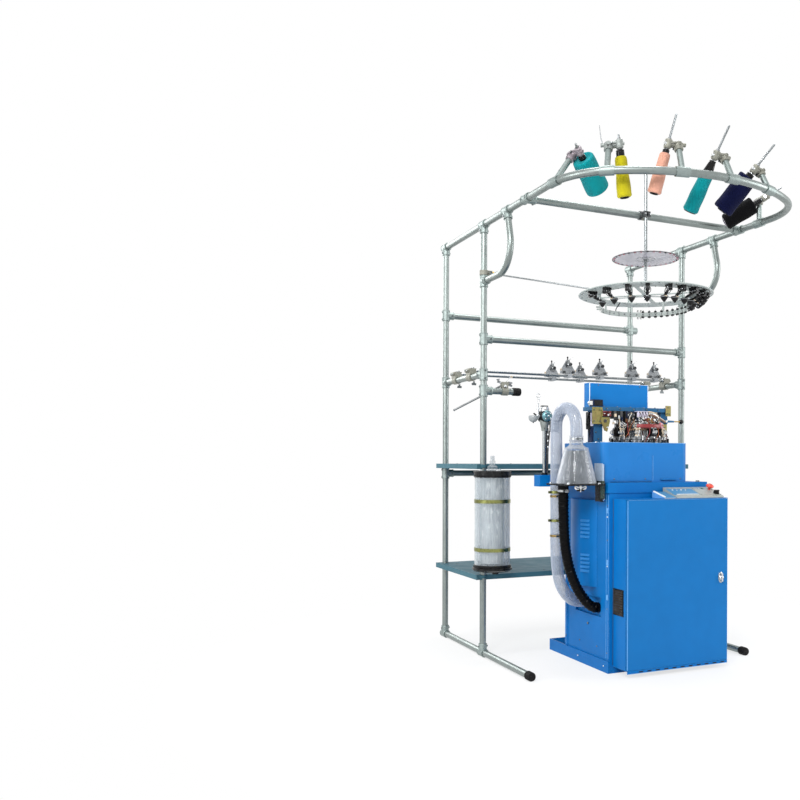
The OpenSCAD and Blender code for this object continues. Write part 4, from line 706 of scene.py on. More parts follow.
BRACE_Z, BRACE_R, LEAN = 1955.0, 130.0, math.radians(15)
BRACE_Y = POST_Y - 285
bend_z = BRACE_Z + BRACE_R * (1 + math.sin(LEAN))
bend_y = BRACE_Y - math.tan(LEAN) * (ARM_Z - bend_z)
cy = bend_y + BRACE_R * math.cos(LEAN)
k = Kit("brace_tubes", "galv", slot="galvanised_tube")
for x in (LEFT, RIGHT):
    d = V(0, -math.sin(LEAN), -math.cos(LEAN))
    top = V(x, BRACE_Y, ARM_Z) + d * (TUBE / 2 + 0.3 + TUBE / 2 * math.sin(LEAN)) / math.cos(LEAN)
    arc = [ray(165 + 105 * i / 26, BRACE_R) for i in range(27)]
    bend = [V(x, cy + p.x, BRACE_Z + BRACE_R + p.y) for p in arc]
    k.sweep([top, bend[0] - d * 8] + bend + [V(x, cy + 12, BRACE_Z), V(x, POST_Y - 17.3, BRACE_Z)], TUBE / 2,
            28, wall=2.5)
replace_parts(k.make(0), "curved_braces")

# Dark set screws with sockets, one on each side of every fitting's sleeve and its branch
lean = V(0, -math.sin(LEAN), -math.cos(LEAN))
fits = [(V(LEFT, POST_Y, STUB_Z), Z, X)]
for x, inward in ((LEFT, X), (RIGHT, -X)):
    for y, z, run, branch in ((POST_Y, FIT / 2, Y, Z), (BACK_Y, FIT / 2, Y, Z), (POST_Y, ARM_Z, Y, -Z),
                              (BACK_Y, ARM_Z, Y, -Z), (BRACE_Y, ARM_Z, Y, lean), (-81, ARM_Z, Y, inward),
                              (BACK_Y, 1857, Z, inward), (POST_Y, 1655, Z, inward), (POST_Y, RAIL_Z, Z, Y),
                              (BACK_Y, RAIL_Z, Z, -Y), (POST_Y, BRACE_Z, Z, -Y), (BACK_Y, 947, Z, inward)):
        fits.append((V(x, y, z), run, branch))
k = Kit("fitting_screws", "screw fitting", slot="dark_screw")
for p, run, branch in fits:
    out = run.cross(branch).normalized()
    for s in SIDES:
        for q, w in ((p + run * 21 * s, -branch), (p + branch * 32, out * s)):
            k.turned(q + w * (FIT / 2 - 0.4), w, "0 0, 7.5 0, 6.4 2.2, 5.4 2.2, 5.4 0.6, 0 0.6", 18, 1)
            k.socket(q + w * (FIT / 2 - 1), w, 8.5, 4.5, 0)
    # Beads cast round the mouths of the sleeve and of the socket
    for q, w in ((p + run * 31, run), (p - run * 31, run), (p + branch * 46, branch)):
        k.ring(q - w * (3 if w == branch or (q - p).dot(run) > 0 else -3), w, FIT / 2 - 1.2, 2.6, 28, 8, 1)
k.make(0)

# Rubber caps with turned ribs and a worn rim
k = Kit("rail_caps", "rubber", slot="black_rubber")
for p, d in ((V(LEFT, -152, FIT / 2), -Y), (V(RIGHT, -152, FIT / 2), -Y), (V(LEFT + 208, POST_Y, 1386), X)):
    prof = [(17.3, -42), (19.6, -42)]
    for j in range(4):
        z = -38 + j * 9
        prof += [(21.4, z), (21.5, z + 4), (20.2, z + 5), (20.2, z + 8)]
    prof += [(21.0, -1), (19.5, 2.6), (16, 4), (0, 4)]
    k.turned(p, d, prof, 32)
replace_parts(k.make(0.3), "rubber_caps")

# Guide rods: collars and end nuts beside each block
ROD_Z = 1470 + 17 + 5 + 12
k = Kit("rod_collars", "cast screw chrome", slot="beige_casting")
for x in (LEFT, RIGHT):
    s = 1 if x > CX else -1
    for y0 in (POST_Y + 170, POST_Y + 380):
        for t in (-15, 15):
            k.turned((x + s * 20, y0 + t, ROD_Z), (s, 0, 0), "5.2 0, 9 0, 9 9, 5.2 9", 20, 0)
            k.socket((x - s * 8, y0 + t, ROD_Z + 12), Z, 8, 7, 1)
            k.turned((x - s * 26, y0 + t, ROD_Z), (s, 0, 0), "5.2 0, 8 0, 8 6, 5.2 6", 18, 2)
        # Clamp slot and its wing screw under the block
        k.box((x - 20.4, y0 - 27, 1468.5), (x + 20.4, y0 + 27, 1470.5), 1)
        k.rod((x - s * 17, y0, 1449), (x - s * 17, y0, 1438), 6, 5, 16, 1)
        k.box((x - s * 17 - 13, y0 - 2, 1428), (x - s * 17 + 13, y0 + 2, 1440), 1)
        for c in (-19, 19):
            k.socket((x - s * 21, y0 + c, ROD_Z - 3), (-s, 0, 0), 8, 4, 1)
k.make(0.8)

# Yarn tensioners: ceramic eyes, stacked discs, springs and knurled nuts on each plate
PLATES = [(CX - CW * 0.026, 0), (CX + CW * 0.142, 0), (CX + CW * 0.317, 0), (500.0, 0), (CX - CW * 0.019, 1),
          (CX + CW * 0.132, 1)]
k = Kit("tension_sets", "dark_steel chrome cream dull_steel black", slot="tension_steel")
for x, row in PLATES:
    y, z0 = POST_Y + (170, 380)[row], ROD_Z + 11
    eye = z0 + 52
    k.at((x, y, eye))
    k.rod((0, -36, 0), (0, 28, 0), 4, m=1)
    for s in SIDES:
        k.turned((0, s * 2, 0), (0, s, 0), "4 0, 15 0.2, 17.5 1.6, 17.5 2.4, 14 2.6, 7 4, 4 4", 32, 3)
        k.turned((0, s * 6.4, 0), (0, s, 0), "4 0, 7 0, 14 1.4, 17.5 2.4, 17.5 3.2, 6 3.4, 4 3", 32, 3)
        k.coil((0, s * 9.8, 0), (0, s * 21, 0), 6.2, 0.8, 5, 1, 6, 12)
    k.turned((0, -36, 0), Y, "0 0, 7.5 0, 8.8 1.2, 8.8 11, 7 14.5, 4 14.5", 24, 0)
    for j in range(12):
        p = ray(30 * j, 8.6)
        k.rod((p.x, -35, p.y), (p.x, -25, p.y), 0.9, n=6)
    k.turned((0, 21, 0), Y, "4 0, 8 0, 8 6, 4 6", 6, 0)
    # Second pair of discs lower on the plate, its eyes and the small stop lever
    k.at((x, y, z0))
    for dx, dz in ((-30, 9), (28, 12)):
        k.rod((dx, -18, dz), (dx, 14, dz), 3, m=1)
        k.turned((dx, -2, dz), -Y, "3 0, 9 0, 10 1.4, 6 3, 6 8, 3 8", 24, 3)
        k.turned((dx, -14, dz), -Y, "0 0, 6 0, 6.6 1, 6.6 6, 0 7", 18, 0)
    for dx in (-46, 46):
        k.rod((dx, 0, 4), (dx, 0, 20 if dx < 0 else 14), 2, m=1)
        k.ring((dx, 0, 24 if dx < 0 else 18), (1, 0.25, 0), 5.2, 1.8, 20, 8, 2)
    k.wire("-6 -8 70, -6 -20 78, 4 -30 84, 16 -26 90, 20 -14 88", 1.4, 1, 8, 3)
    k.box((-13, -6, 62), (9, 6, 78), 3)
    k.rod((-3, 0, 76), (-3, 0, 92), 4.4, 3.4, 14, 0)
    k.ball((-3, 0, 94), 5.2, 12, 4)
    for c in (-15, 15):
        k.socket((0, c, 0), Z, 8, 5, 0)
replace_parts(k.make(0), "yarn_tensioners")

# Clamp, posts and disc pair on the stub arm
k = Kit("stub_tension", "cast chrome dull_steel dark_steel cream", slot="tension_steel")
sx = LEFT + 120
k.at((sx, POST_Y, 1386), X, Z)
k.lathe("17.3 -17, 21.5 -17, 21.5 17, 17.3 17", 32)
k.at((sx, POST_Y, 1386))
k.boxes((-17, -12, 19, 17, 12, 36, 0), (-5, -13, 19, 5, 13, 24, 3))
k.rod((-40, 0, 50), (44, 0, 30), 5, m=1)
k.box((-20, -9, 32), (22, 9, 50), 0)
k.hexbolt((0, -12, 27), -Y, 8, 7, 1)
k.turned((30, 0, 33), (0.25, 0, 1), "4 0, 13 1, 15 3, 7 6, 7 12, 12 13, 12 18, 0 20", 24, 2)
k.turned((-33, 0, 48), (-0.25, 0, 1), "4 0, 10 1, 11 3, 6 5, 6 12, 9 13, 9 17, 0 18", 24, 2)
k.wire("6 -4 46, 8 -18 58, 16 -26 70, 26 -24 74", 1.6, 1)
k.ring((29, -24, 76), (0.4, 1, 0), 5, 1.6, 18, 8, 4)
k.at()
k.rod((sx, POST_Y + 4, 1424), (-775, 604, 1292), 5.2, m=2)
k.ball((-775, 604, 1292), 6.4, 16, 2)
k.make(0.4)

# Tie rod's collar, its set screw and a hex nut
k = Kit("tie_details", "cast screw brassy", slot="beige_casting")
tz = 1955 + 31 + 13
k.hexbolt((LEFT + 32, POST_Y - 18, tz), -Y, 9, 6, 1)
for z in (tz + 11, tz - 11):
    k.ring((LEFT, POST_Y, z), Z, 21.6, 1.6, 28, 6, 0)
k.turned((LEFT + 44, POST_Y - 10, tz + 1), (1, -0.2, -0.05), "4.3 0, 9 0, 9 8, 4.3 8", 6, 2)
k.make(0.6)

# Cone holders: ring angle, back, inward, rise, side, azimuth, dip and shaft above the clamp
HOLDERS = [(-84, 0, 100, 140, 1, 30, 36, 20), (-37, 0, 66, 132, 1, 20, 80, 20),
           (-13, 0, 48, 132, -1, 120, 72, 105), (3, 0, 56, 112, -1, 103, 56, 110),
           (19, 0, 44, 92, -1, 122, 47, 110), (90, 81, 0, 120, -1, 140, 30, 70)]
# Packages: top and foot radius, length, bare core above, core radius at top and foot, the yarn's colour and a
# darker one painted as shade in the grooves between its coils
PACKAGES = [(50, 54, 178, 14, 16, 22, "#028a90", "#035a60"), (25, 32, 176, 26, 18, 20, "#c2b71e", "#80780f"),
            (23, 31, 176, 14, 15, 19, "#dda48e", "#b0745f"), (31, 36, 170, 66, 15, 29, "#03888e", "#045a60"),
            (46, 48, 186, 16, 18, 24, "#0c1136", "#060818"), (45, 42, 166, 42, 14, 26, "#08080a", "#030304")]
STUB, CLAMP_OFF, CLAMP = 26.0, 46.0, 40.0


def holder(i):
    a, back, inward, rise, side, az, dip, above = HOLDERS[i]
    foot = ring_point(a, back)
    head = foot + ray(a + 90, inward, rise)
    sd = ray(a, side)
    axis = ray(az, math.cos(math.radians(dip)), -math.sin(math.radians(dip)))
    return foot, head, sd, axis, head + sd * CLAMP_OFF, head + sd * CLAMP_OFF + axis * CLAMP * 0.62


cone_pieces, core_pieces = [], []
for i, (r0, r1, length, bare, c0, c1, base, groove_shade) in enumerate(PACKAGES):
    foot, head, sd, axis, shaft, top = holder(i)
    place = placed(top, axis)
    M[f"yarn_{i}"] = yarn(f"yarn_{i}", base, groove_shade)
    body_l = length - 4
    prof = [(c0 + (c1 - c0) * bare / (length + bare) + 0.5, bare + 4), (r0 - 17, bare + 2.4),
            (r0 - 13, bare + 0.6)]
    prof += [(r0 - 9 + p.x, bare + 9 + p.y) for p in (ray(a, 9) for a in range(-90, 1, 15))]
    prof += [(r0 + (r1 - r0) * t + 0.9 * math.sin(t * 9.4 + i), bare + 9 + (body_l - 18) * t)
             for t in (j / 22 for j in range(1, 22))]
    prof += [(r1 - 9 + p.x, bare + body_l - 9 + p.y) for p in (ray(a, 9) for a in range(0, 91, 15))]
    prof += [(r1 - 14, bare + body_l - 1.4), (c1 + 0.5, bare + body_l - 3)]
    prof += [(c0 + (c1 - c0) * bare / (length + bare) + 0.5, bare + 4)]
    k = Kit(f"yarn_package_{i}", f"yarn_{i}", slot="dyed_yarn")
    k.lathe(prof, 96)
    cone_pieces.append(k.make(0, 50, place=place))
    total = length + bare
    ends = [(c1 - 3.2, total - 26), (c1 - 3.2, total - 1), (c1 - 1.6, total), (c1, total - 1.2)]
    k = Kit(f"cone_core_{i}", "black_gloss grey_plastic guide", slot="black_plastic")
    flare = [(26.5, bare - 2), (c1 - 2, bare + 8)] if i == 3 else []
    k.lathe([(5.2, 1), (c0 - 2, 0), (c0, 1.4), (c0 + 0.1, 6), (c0 - 0.7, 6.6), (c0 - 0.6, 8.4), (c0 + 0.2, 9)]
            + flare + [(c1, total - 8)] + ends[::-1] + [(5.2, total - 26)], 48)
    if i in (4, 5):
        k.lathe([(c1 - 3.4, total - 14), (c1 - 7, total - 13), (c1 - 7, total + 1), (c1 - 4, total + 1.6),
                 (c1 - 3.4, total - 1)], 40, 2)
    k.lathe([(5.05, total - 30), (7.5, total - 30), (7.5, total - 25.8), (5.05, total - 25.8)], 24, 1)
    core_pieces.append(k.make(0.2, 40, place=place))
for o in cone_pieces:
    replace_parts(o, "yarn_cones")
for o in core_pieces:
    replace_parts(o, "cone_cores")

# Castings that clamp each shaft to its stub, with slits, bosses and screws
k = Kit("cone_castings", "cast mauve cast_grey black screw chrome", slot="beige_casting")
for i in range(6):
    foot, head, sd, axis, shaft, top = holder(i)
    up = (head - foot).normalized()
    m = (1, 2, 0, 0, 0, 0)[i]
    low = head - up * (head - foot).length * 0.22
    h = (head + up * (head - foot).length * 0.06 - low).length
    k.at(low, up, sd)
    k.lathe([(13.4, 0), (17.4, 0), (19.4, 2), (19.8, h * 0.4), (17.6, h * 0.48), (19.6, h * 0.6),
             (19.4, h - 5), (16, h - 1), (9, h), (8, h - 6), (0, h - 6)], 32, m)
    k.box((-2, -20.4, 2), (2, -16, h - 6), 3)
    k.block((0, -19, h * 0.55), (22, 7, 15), m)
    k.socket((12, -19, h * 0.55), X, 9, 6, 4)
    k.turned((0, 18, h * 0.62), Y, "0 0, 8 0, 7.4 5, 4.6 5.4, 4.4 2, 0 2", 18, m)
    k.turned((0, 0, h - 0.4), Z, "0 0, 5 0, 4.2 3.4, 0 3.6", 6, 4)
    # Lobe round the shaft and the web between the two
    k.at(shaft - axis * 20, axis, up)
    k.lathe("5.2 0, 12.5 0, 15.6 2, 16.8 7, 15.2 14, 16.8 22, 16.8 33, 15 38, 12 40, 5.2 40", 32, m)
    k.turned((0, 14, 20), Y, "0 0, 7.5 0, 7 7, 4 7.4, 3.8 4, 0 4", 18, m)
    k.box((14, -1.6, 2), (17.6, 1.6, 38), 3)
    k.hexbolt((0, -15, 22), -Y, 8, 6, 5)
    k.at()
    k.rod(head - sd * 2, shaft, 12.4, 11, 24, m)
    q = up.cross(sd).normalized()
    for s in SIDES:
        k.sweep(spline([head + q * 11 * s, head + sd * 22 + q * 13.5 * s - up * 2, shaft + q * 9 * s], 5),
                5.2, 10, m)
    # Wing boss and its screw on the free side
    k.rod(head, head - sd * 30, 9, 8.4, 20, m)
    k.turned(head - sd * 29, -sd, "0 0, 8.8 0, 9.2 2, 8.6 5, 4.8 5.6, 4.4 2.4, 0 2.4", 20, m)
    k.turned(head - sd * 26, -sd, "0 0, 4.2 0, 4.2 7, 0 8", 6, 4)
    # Hole drilled through the stub's lower end
    s0 = foot + up * (head - foot).length * 0.34
    k.turned(s0 - q * (STUB / 2 - 1), -q, "0 0, 4.6 0, 4.6 1.4, 3.4 1.6, 3.2 0.8, 0 0.8", 16, 4)
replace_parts(k.make(0.8), "cone_clamps")

# Threads, wire, spring and stop nuts on the shafts
k = Kit("shaft_details", "rod dull_steel chrome", slot="bright_steel")
for i in range(6):
    foot, head, sd, axis, shaft, top = holder(i)
    above = HOLDERS[i][7]
    tip = shaft - axis * (CLAMP / 2 + above)
    if i in (2, 3, 4):
        k.coil(tip + axis * 1, shaft - axis * 22, 4.9, 0.75, (above - 4) / 3.4, 0, 6, 12)
    k.turned(tip, axis, "0 -1.2, 3.6 -1, 5.05 0.6, 5.05 3", 18, 0)
    k.turned(shaft - axis * 26, axis, "5.05 0, 9 0, 9 6, 5.05 6", 6, 1)
    k.turned(shaft + axis * 20.2, axis, "5.05 0, 11 0, 11 1.6, 5.05 1.6", 24, 1)
    if i == 4:
        k.coil(shaft + axis * 22, shaft + axis * 24.5, 9, 1.2, 2, 2, 6, 14)
        k.coil(tip + axis * 40, shaft - axis * 27, 7.4, 1.1, 8, 2, 6, 14)
foot, head, sd, axis, shaft, top = holder(1)
k.sweep(spline([head - sd * 26 + Z * 4, head - sd * 33 + Z * 30, head - sd * 40 + Z * 88], 5),
        lambda t: 3.0 - 1.7 * t, 10, 1)
k.make(0)

# Dark casting of the hanging rod's clamp on the crossbar, and the rod's turned ends
k = Kit("hanger_clamp", "dark_steel cast_grey chrome rod", slot="beige_casting")
for s in SIDES:
    k.box((HX + s * 12 - 7.5, -124.6, 2236.4), (HX + s * 12 + 7.5, -98.2, 2263.6), 0)
    k.turned((HX + s * 18.4, -81, 2250), (s, 0, 0), "17.4 -6, 22.2 -6, 22.6 -4, 22.6 1, 21 2.4, 17.4 2.4", 32,
             0)
    k.socket((HX + s * 14, -124.4, 2250), -Y, 8, 6, 2)
    k.turned((HX, HY, 2250 + s * 13.4), (0, 0, s), "9.2 0, 13 0, 12.4 3, 9.2 3", 28, 1)
k.turned((HX, HY, 2448), Z, "9.1 -2, 9.4 -1, 9.2 0.4, 7.4 2, 0 2.2", 24, 3)
k.turned((HX, HY, 1831), -Z, "9.1 -4, 12 -4, 12 3, 9 6, 0 6.4", 6, 2)
k.make(0.6)

# Guide disc: thin dark rim, a ring of eyelets and the seam of its moulded web
GD_Z, GD_R, FD_Z, FD_R = 2027.0, 165.5, 1847.0, 332.0
k = Kit("guide_disc_eyes", "dark_steel pink grey_plastic", slot="red_plastic")
k.ring((HX, HY, GD_Z + 1), Z, GD_R - 0.8, 1.7, 96, 6, 0)
for j in range(32):
    for z, s in ((GD_Z - 0.3, -1), (GD_Z + 4.3, 1)):
        p = polar(11.25 * (j + 0.3), 157, z)
        k.ring(p, Z, 4.2, 1.5, 16, 6, 1 if j % 3 else 0)
        k.turned(p, (0, 0, s), "0 -0.6, 3.2 -0.6, 3 0.5, 0 0.6", 12, 0)
k.ring((HX, HY, GD_Z - 0.4), Z, 46, 1.4, 48, 6, 2)
k.ring((HX, HY, GD_Z - 0.4), Z, 18, 2.2, 36, 6, 2)
k.make(0)

# Feeder disc: rolled rim and screw heads
k = Kit("feeder_disc_trim", "disc screw", slot="pale_disc")
k.ring((HX, HY, FD_Z + 2), Z, FD_R - 1.2, 2.6, 120, 8, 0)
for j in range(24):
    for r in (FD_R - 14, 234):
        k.screw(polar(15 * j + 7.5, r, FD_Z), -Z, 7, 2.4, 1)
        k.screw(polar(15 * j + 7.5, r, FD_Z + 4), Z, 7, 2.4, 1)
k.make(0)

# Feeder units: body with cover, screws and bail wire, leaning neck, ribbed wheel and ceramic eye
UNIT_A = [174, -163, -140, -122, -102, -88, -72, -57, -40, -22]
k = Kit("feeder_set", "black dark_steel chrome black_gloss grey_plastic cream", slot="black_plastic")
for j, a in enumerate(UNIT_A):
    k.at(polar(a, 280, FD_Z), Z, ray(a, 1))
    k.boxes((-14, -10, -9, 30, 10, 0, 0), (-12, -8.6, -27, 16, 8.6, -8, 3), (14, -10, -30, 29, 10, -8, 0),
            (-13, -9.6, -19, 17, 9.6, -16.4, 4))
    for s in SIDES:
        k.rod((28.5, 5 * s, -20), (34, 5 * s, -20), 3.2, n=12, m=1)
        k.screw((22, 10 * s, -18), (0, s, 0), 6.5, 2, 2)
        k.screw((4, 8.6 * s, -22), (0, s, 0), 5, 1.6, 2)
    k.wire("10 -9 -12, 2 -15 -22, -12 -12 -34, -20 0 -38, -12 12 -34, 2 15 -22, 10 9 -12", 1.7, 3)
    k.wire("-4 0 -26, -14 0 -33, -30 0 -40, -45 0 -46", lambda q: 6.4 - 1.6 * q, 0, 14)
    k.coil((-16, 0, -32), (-34, 0, -42), 6.6, 1.0, 5, 3, 6, 12)
    k.turned((-45, 0, -49), Z,
             "0 -22, 5.4 -22, 7 -20, 9 -15, 14.4 -7, 17.6 -2, 19.4 -0.6, 20 1, 19.6 3.4, 17 5.2, 8 6, 5 8, "
             "0 8.6", 32, 0)
    for q in range(12):
        k.rod(ray(30 * q, 16.4, -53) - X * 45, ray(30 * q, 8.6, -65) - X * 45, 1.1, n=6, m=3)
    k.ring((-45, 0, -49.6), Z, 18.6, 1.4, 30, 6, 4)
    k.rod((-45, 0, -70), (-45, 0, -74), 3.6, 2.6, 14, 1)
    k.ring((-24, 0, -46), (0.5, 0, 1), 5.4, 1.7, 18, 8, 5 if j % 3 else 2)
    k.wire("-24 4 -42, -26 6 -36, -22 7 -28", 1.2, 2, 8, 3)
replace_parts(k.make(0.5), "feeder_units")

# Eyelet ring: ceramic eyes and black stops along the strip, white loops at its ends
k = Kit("eyelet_set", "black grey_plastic dark_steel white_plastic", slot="black_plastic")
RZ = 1789.0
for j in range(21):
    d = ray(-8 + 8.4 * j, 1)
    p = V(HX, HY, RZ) + d * 225.8
    k.ring(p, d, 3.6, 1.2, 18, 8, 1)
    k.turned(p - d * 0.8, d, "0 0, 2.6 0, 2.6 0.6, 0 0.6", 12, 2)
    if j < 9:
        for s in SIDES:
            q = V(HX, HY, RZ + 13.4 * s) + d * 226
            k.at(q, d, Z)
            k.block((0, 0, -3), (7, 15 if s < 0 else 9, 9), 0)
            k.rod((0, -6, -4), (0, 6, -4), 4.6, n=12, m=0)
            k.rod((s * 3, 0, -6), (s * 9, 2, -10), 1.5, 1.0, 8, 2)
            k.at()
    elif j % 2 == 0:
        for s in SIDES:
            k.turned(V(HX, HY, RZ + 10 * s) + d * 226.6, -d, "0 0, 2.6 0, 2.2 2.4, 0 2.6", 12, 2)
for a0 in (156, 160, 150, 66, 62):
    d = ray(a0, 1)
    for z, s in ((RZ + 14, 1), (RZ - 14, -1)):
        k.ring(V(HX, HY, z + 3 * s) + d * 225, (d.x, d.y, 0.4 * s), 6.4, 1.6, 20, 8, 3)
        k.rod(V(HX, HY, z) + d * 227, V(HX, HY, z + 10 * s) + d * 221, 2.2, 1.6, 10, 0)
k.make(0.3)

# Cables between the units on the right and their coils
k = Kit("feeder_cables", "black_gloss black grey_plastic chrome", slot="black_plastic")
for n in range(9):
    a = -52 + n * 6.4
    z = 1829 - (n % 3) * 9
    k.coil(polar(a, 292 - (n % 4) * 8, z), polar(a + 7, 296 - (n % 3) * 7, z - 6), 9 + n % 3, 2.1, 4.5, n % 2,
           7, 14)
for n in range(10):
    a = -58 + n * 5.5
    k.sweep(spline([polar(a, 298, 1845), polar(a + 4, 266 - 5 * (n % 4), 1825),
                    polar(a + 10, 284, 1805 + 4 * (n % 3)), polar(a + 15, 256, 1809),
                    polar(a + 19, 236, 1794)], 6), 2.0 + 0.5 * (n % 2), 8, n % 2)
for n in range(6):
    a = -34 + n * 7.5
    k.at(polar(a, 270 + 14 * (n % 2), 1833.2), Z, polar(a, 1, 0) - V(HX, HY, 0))
    k.boxes((-12, -9, -22, 12, 9, 13.6, 1), (-9, -9.8, -14, 9, -8, 4, 2))
    k.rod((0, 0, -22), (0, 0, -30), 5, 3, 12, 1)
    k.ring((0, 0, -32), (1, 0.3, 0), 5, 1.4, 16, 8, 3)
k.at()
k.sweep(spline([polar(-96, 296, 1845), polar(-60, 318, 1844), polar(-30, 314, 1844), polar(-8, 302, 1845)],
               12), 1.8, 8, 0)
k.wire("-46 110 1846, -54 116 1830, -64 120 1812, -66 118 1796", 2.4, 1, 8, 5)
k.make(0.4)

# Routes of both hoses, then the clear one: a hollow wall, with a sleeve inside its bend that paints the grey,
# dark and white streaks of reflection seen there
CLEAR_ROUTE = [(-408, -74, 1111), (-408, -74, 1180), (-409, -68, 1222), (-413, -50, 1256), (-420, -22, 1277),
               (-427, 10, 1279), (-434, 40, 1263), (-439, 60, 1234), (-441, 68, 1194), (-441, 68, 1060),
               (-441, 68, 940), (-441, 68, 820), (-441, 68, 700), (-440, 69, 610), (-436, 71, 530),
               (-427, 75, 466), (-411, 80, 412), (-387, 86, 370), (-356, 92, 338), (-322, 99, 316),
               (-290, 104, 308), (-264.3, 104, 308)]
BLACK_ROUTE = [(-456, -32, 904), (-456, -32, 860), (-455, -32, 790), (-452, -31, 710), (-446, -30, 630),
               (-435, -30, 560), (-419, -30, 496), (-399, -32, 440), (-375, -36, 390), (-348, -41, 350),
               (-320, -46, 318), (-291, -50, 300), (-264.3, -50, 300)]
k = Kit("clear_hose_tube", "clear", slot="clear_plastic")
k.sweep(spline(CLEAR_ROUTE, 12), 29.6, 48, wall=2.2)
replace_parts(k.make(0), "clear_hose")
k = Kit("hose_bend_sleeve", "smudge", slot="clear_plastic")
path = spline(CLEAR_ROUTE, 6)
arc = [p for p in path if p.z > 1228 and p.y > 26]
k.sweep(arc, 25.6, 32, wall=0.5)
k.make(0)


def frames_on(path):
    """Distance, point and two normals along a path."""
    out, s, u = [], 0.0, None
    for i, p in enumerate(path):
        d = (path[min(i + 1, len(path) - 1)] - path[max(i - 1, 0)]).normalized()
        u = d.cross(V(0.3, 0.9, 0.2)).normalized() if u is None else (u - d * u.dot(d)).normalized()
        if i:
            s += (p - path[i - 1]).length
        out.append((s, p, u.copy(), d.cross(u)))
    return out


def helix_on(path, radius, pitch, per=14):
    fr = frames_on(path)
    length, out, j = fr[-1][0], [], 0
    for n in range(int(length / pitch * per)):
        s = n * pitch / per
        while j < len(fr) - 2 and fr[j + 1][0] < s:
            j += 1
        t = (s - fr[j][0]) / max(1e-6, fr[j + 1][0] - fr[j][0])
        c = fr[j][1].lerp(fr[j + 1][1], t)
        a = 2 * math.pi * s / pitch
        out.append(c + fr[j][2] * math.cos(a) * radius + fr[j][3] * math.sin(a) * radius)
    return out


# Black hose: a wall with a raised spiral
k = Kit("black_hose_spiral", "hose_black", slot="black_hose_plastic")
path = spline(BLACK_ROUTE, 8)
k.sweep(path, 24.0, 36, 0, wall=2.0)
k.sweep(helix_on(path, 23.9, 19.0, 18), 3.1, 8, 0)
k.rod(V(-456, -32, 904) - Z * 34, V(-456, -32, 904) - Z * 2, 26.8, n=36, m=0)
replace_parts(k.make(0), "black_hose")

# Hose clamps with their worm screws
k = Kit("hose_clamps", "brassy chrome screw", slot="bright_steel")
for p, d, r in ((V(-408, -74, 1128), Z, 31.4), (V(-456, -32, 876), Z, 27.6), (V(-441, 68, 846), Z, 30.4),
                (V(-441, 68, 650), Z, 30.4)):
    k.at(p, d)
    m = 0 if p.z < 850 else 1
    k.lathe([(r, -5), (r + 1.2, -5), (r + 1.2, 5), (r, 5)], 40, m)
    k.box((-9, -r - 9, -6), (9, -r, 6), m)
    k.rod((-14, -r - 6, 0), (13, -r - 6, 0), 4.4, n=16, m=2)
    k.turned((-14, -r - 6, 0), -X, "0 0, 5.4 0, 5.4 4, 1.2 4.6, 1 3, 0 3", 6, 2)
    for j in range(10):
        k.block(ray(200 + 14 * j, r + 1.3), (2.4, 2.4, 6), 2)
k.at()
k.make(0.3)

# Funnel: a shell with collars at its neck, and the grey netting inside
FX, FY, FZ = -408.0, -74.0, 912.0
k = Kit("funnel_shell", "funnel", slot="clear_plastic")
k.at((FX, FY, FZ))
k.lathe([(96, 0), (99, 0), (100.5, 3), (99, 8), (98, 12), (91, 42), (59, 169), (39, 182), (33.6, 186),
         (33.6, 204), (35.6, 206), (35.6, 212), (33.6, 214), (33.6, 226), (34.6, 231), (31, 231), (30.6, 212),
         (30.6, 183), (36, 178), (56, 165), (88, 41), (95.6, 10), (96, 0)], 72)
for z in (172, 184):
    k.ring((0, 0, z), Z, 58.2 if z < 180 else 36.5, 1.6, 64, 8)
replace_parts(k.make(0), "funnel")
k = Kit("funnel_net", "netting", slot="clear_plastic")
k.at((FX, FY, FZ))
k.lathe("73 2, 71 20, 52 158, 50 160, 46 160, 48 156, 68 20, 70 2", 64)
k.make(0)

# Plate under the funnel: strap, clamp block, wing nut and screws
k = Kit("strap_set", "strap clamp_green black white_plastic chrome screw", slot="grey_plate")
k.at()
k.boxes((-309.6, -153.4, 925, -306.8, -80, 1010, 0), (-309.6, -154.6, 925, -299.6, -152.6, 1006, 0),
        (-318, -162, 842, -300, -150.5, 926, 1), (-316, -164, 826, -302, -150.5, 842, 2))
k.rod((-309, -164, 834), (-309, -170, 834), 5, n=16, m=4)
for z in (858, 884, 912):
    k.socket((-309, -162, z), -Y, 7, 4, 5)
nut = V(-432, -158, 904)
k.rod(nut, nut - Z * 15, 7.4, 6.4, 20, 3)
k.rod(nut - Z * 14, nut - Z * 30, 3.6, n=14, m=4)
for s in SIDES:
    k.sweep(spline([nut + V(s * 5, 0, -8), nut + V(s * 14, 0, -7), nut + V(s * 25, 0, -3),
                    nut + V(s * 30, 0, -8), nut + V(s * 24, 0, -15), nut + V(s * 10, 0, -16)], 3), 3.4, 10, 3)
for x, y in ((-500, -160), (-330, -160), (-500, 14), (-330, 14)):
    k.hexbolt((x, y, 912), Z, 9, 6, 4)
k.make(0.8)

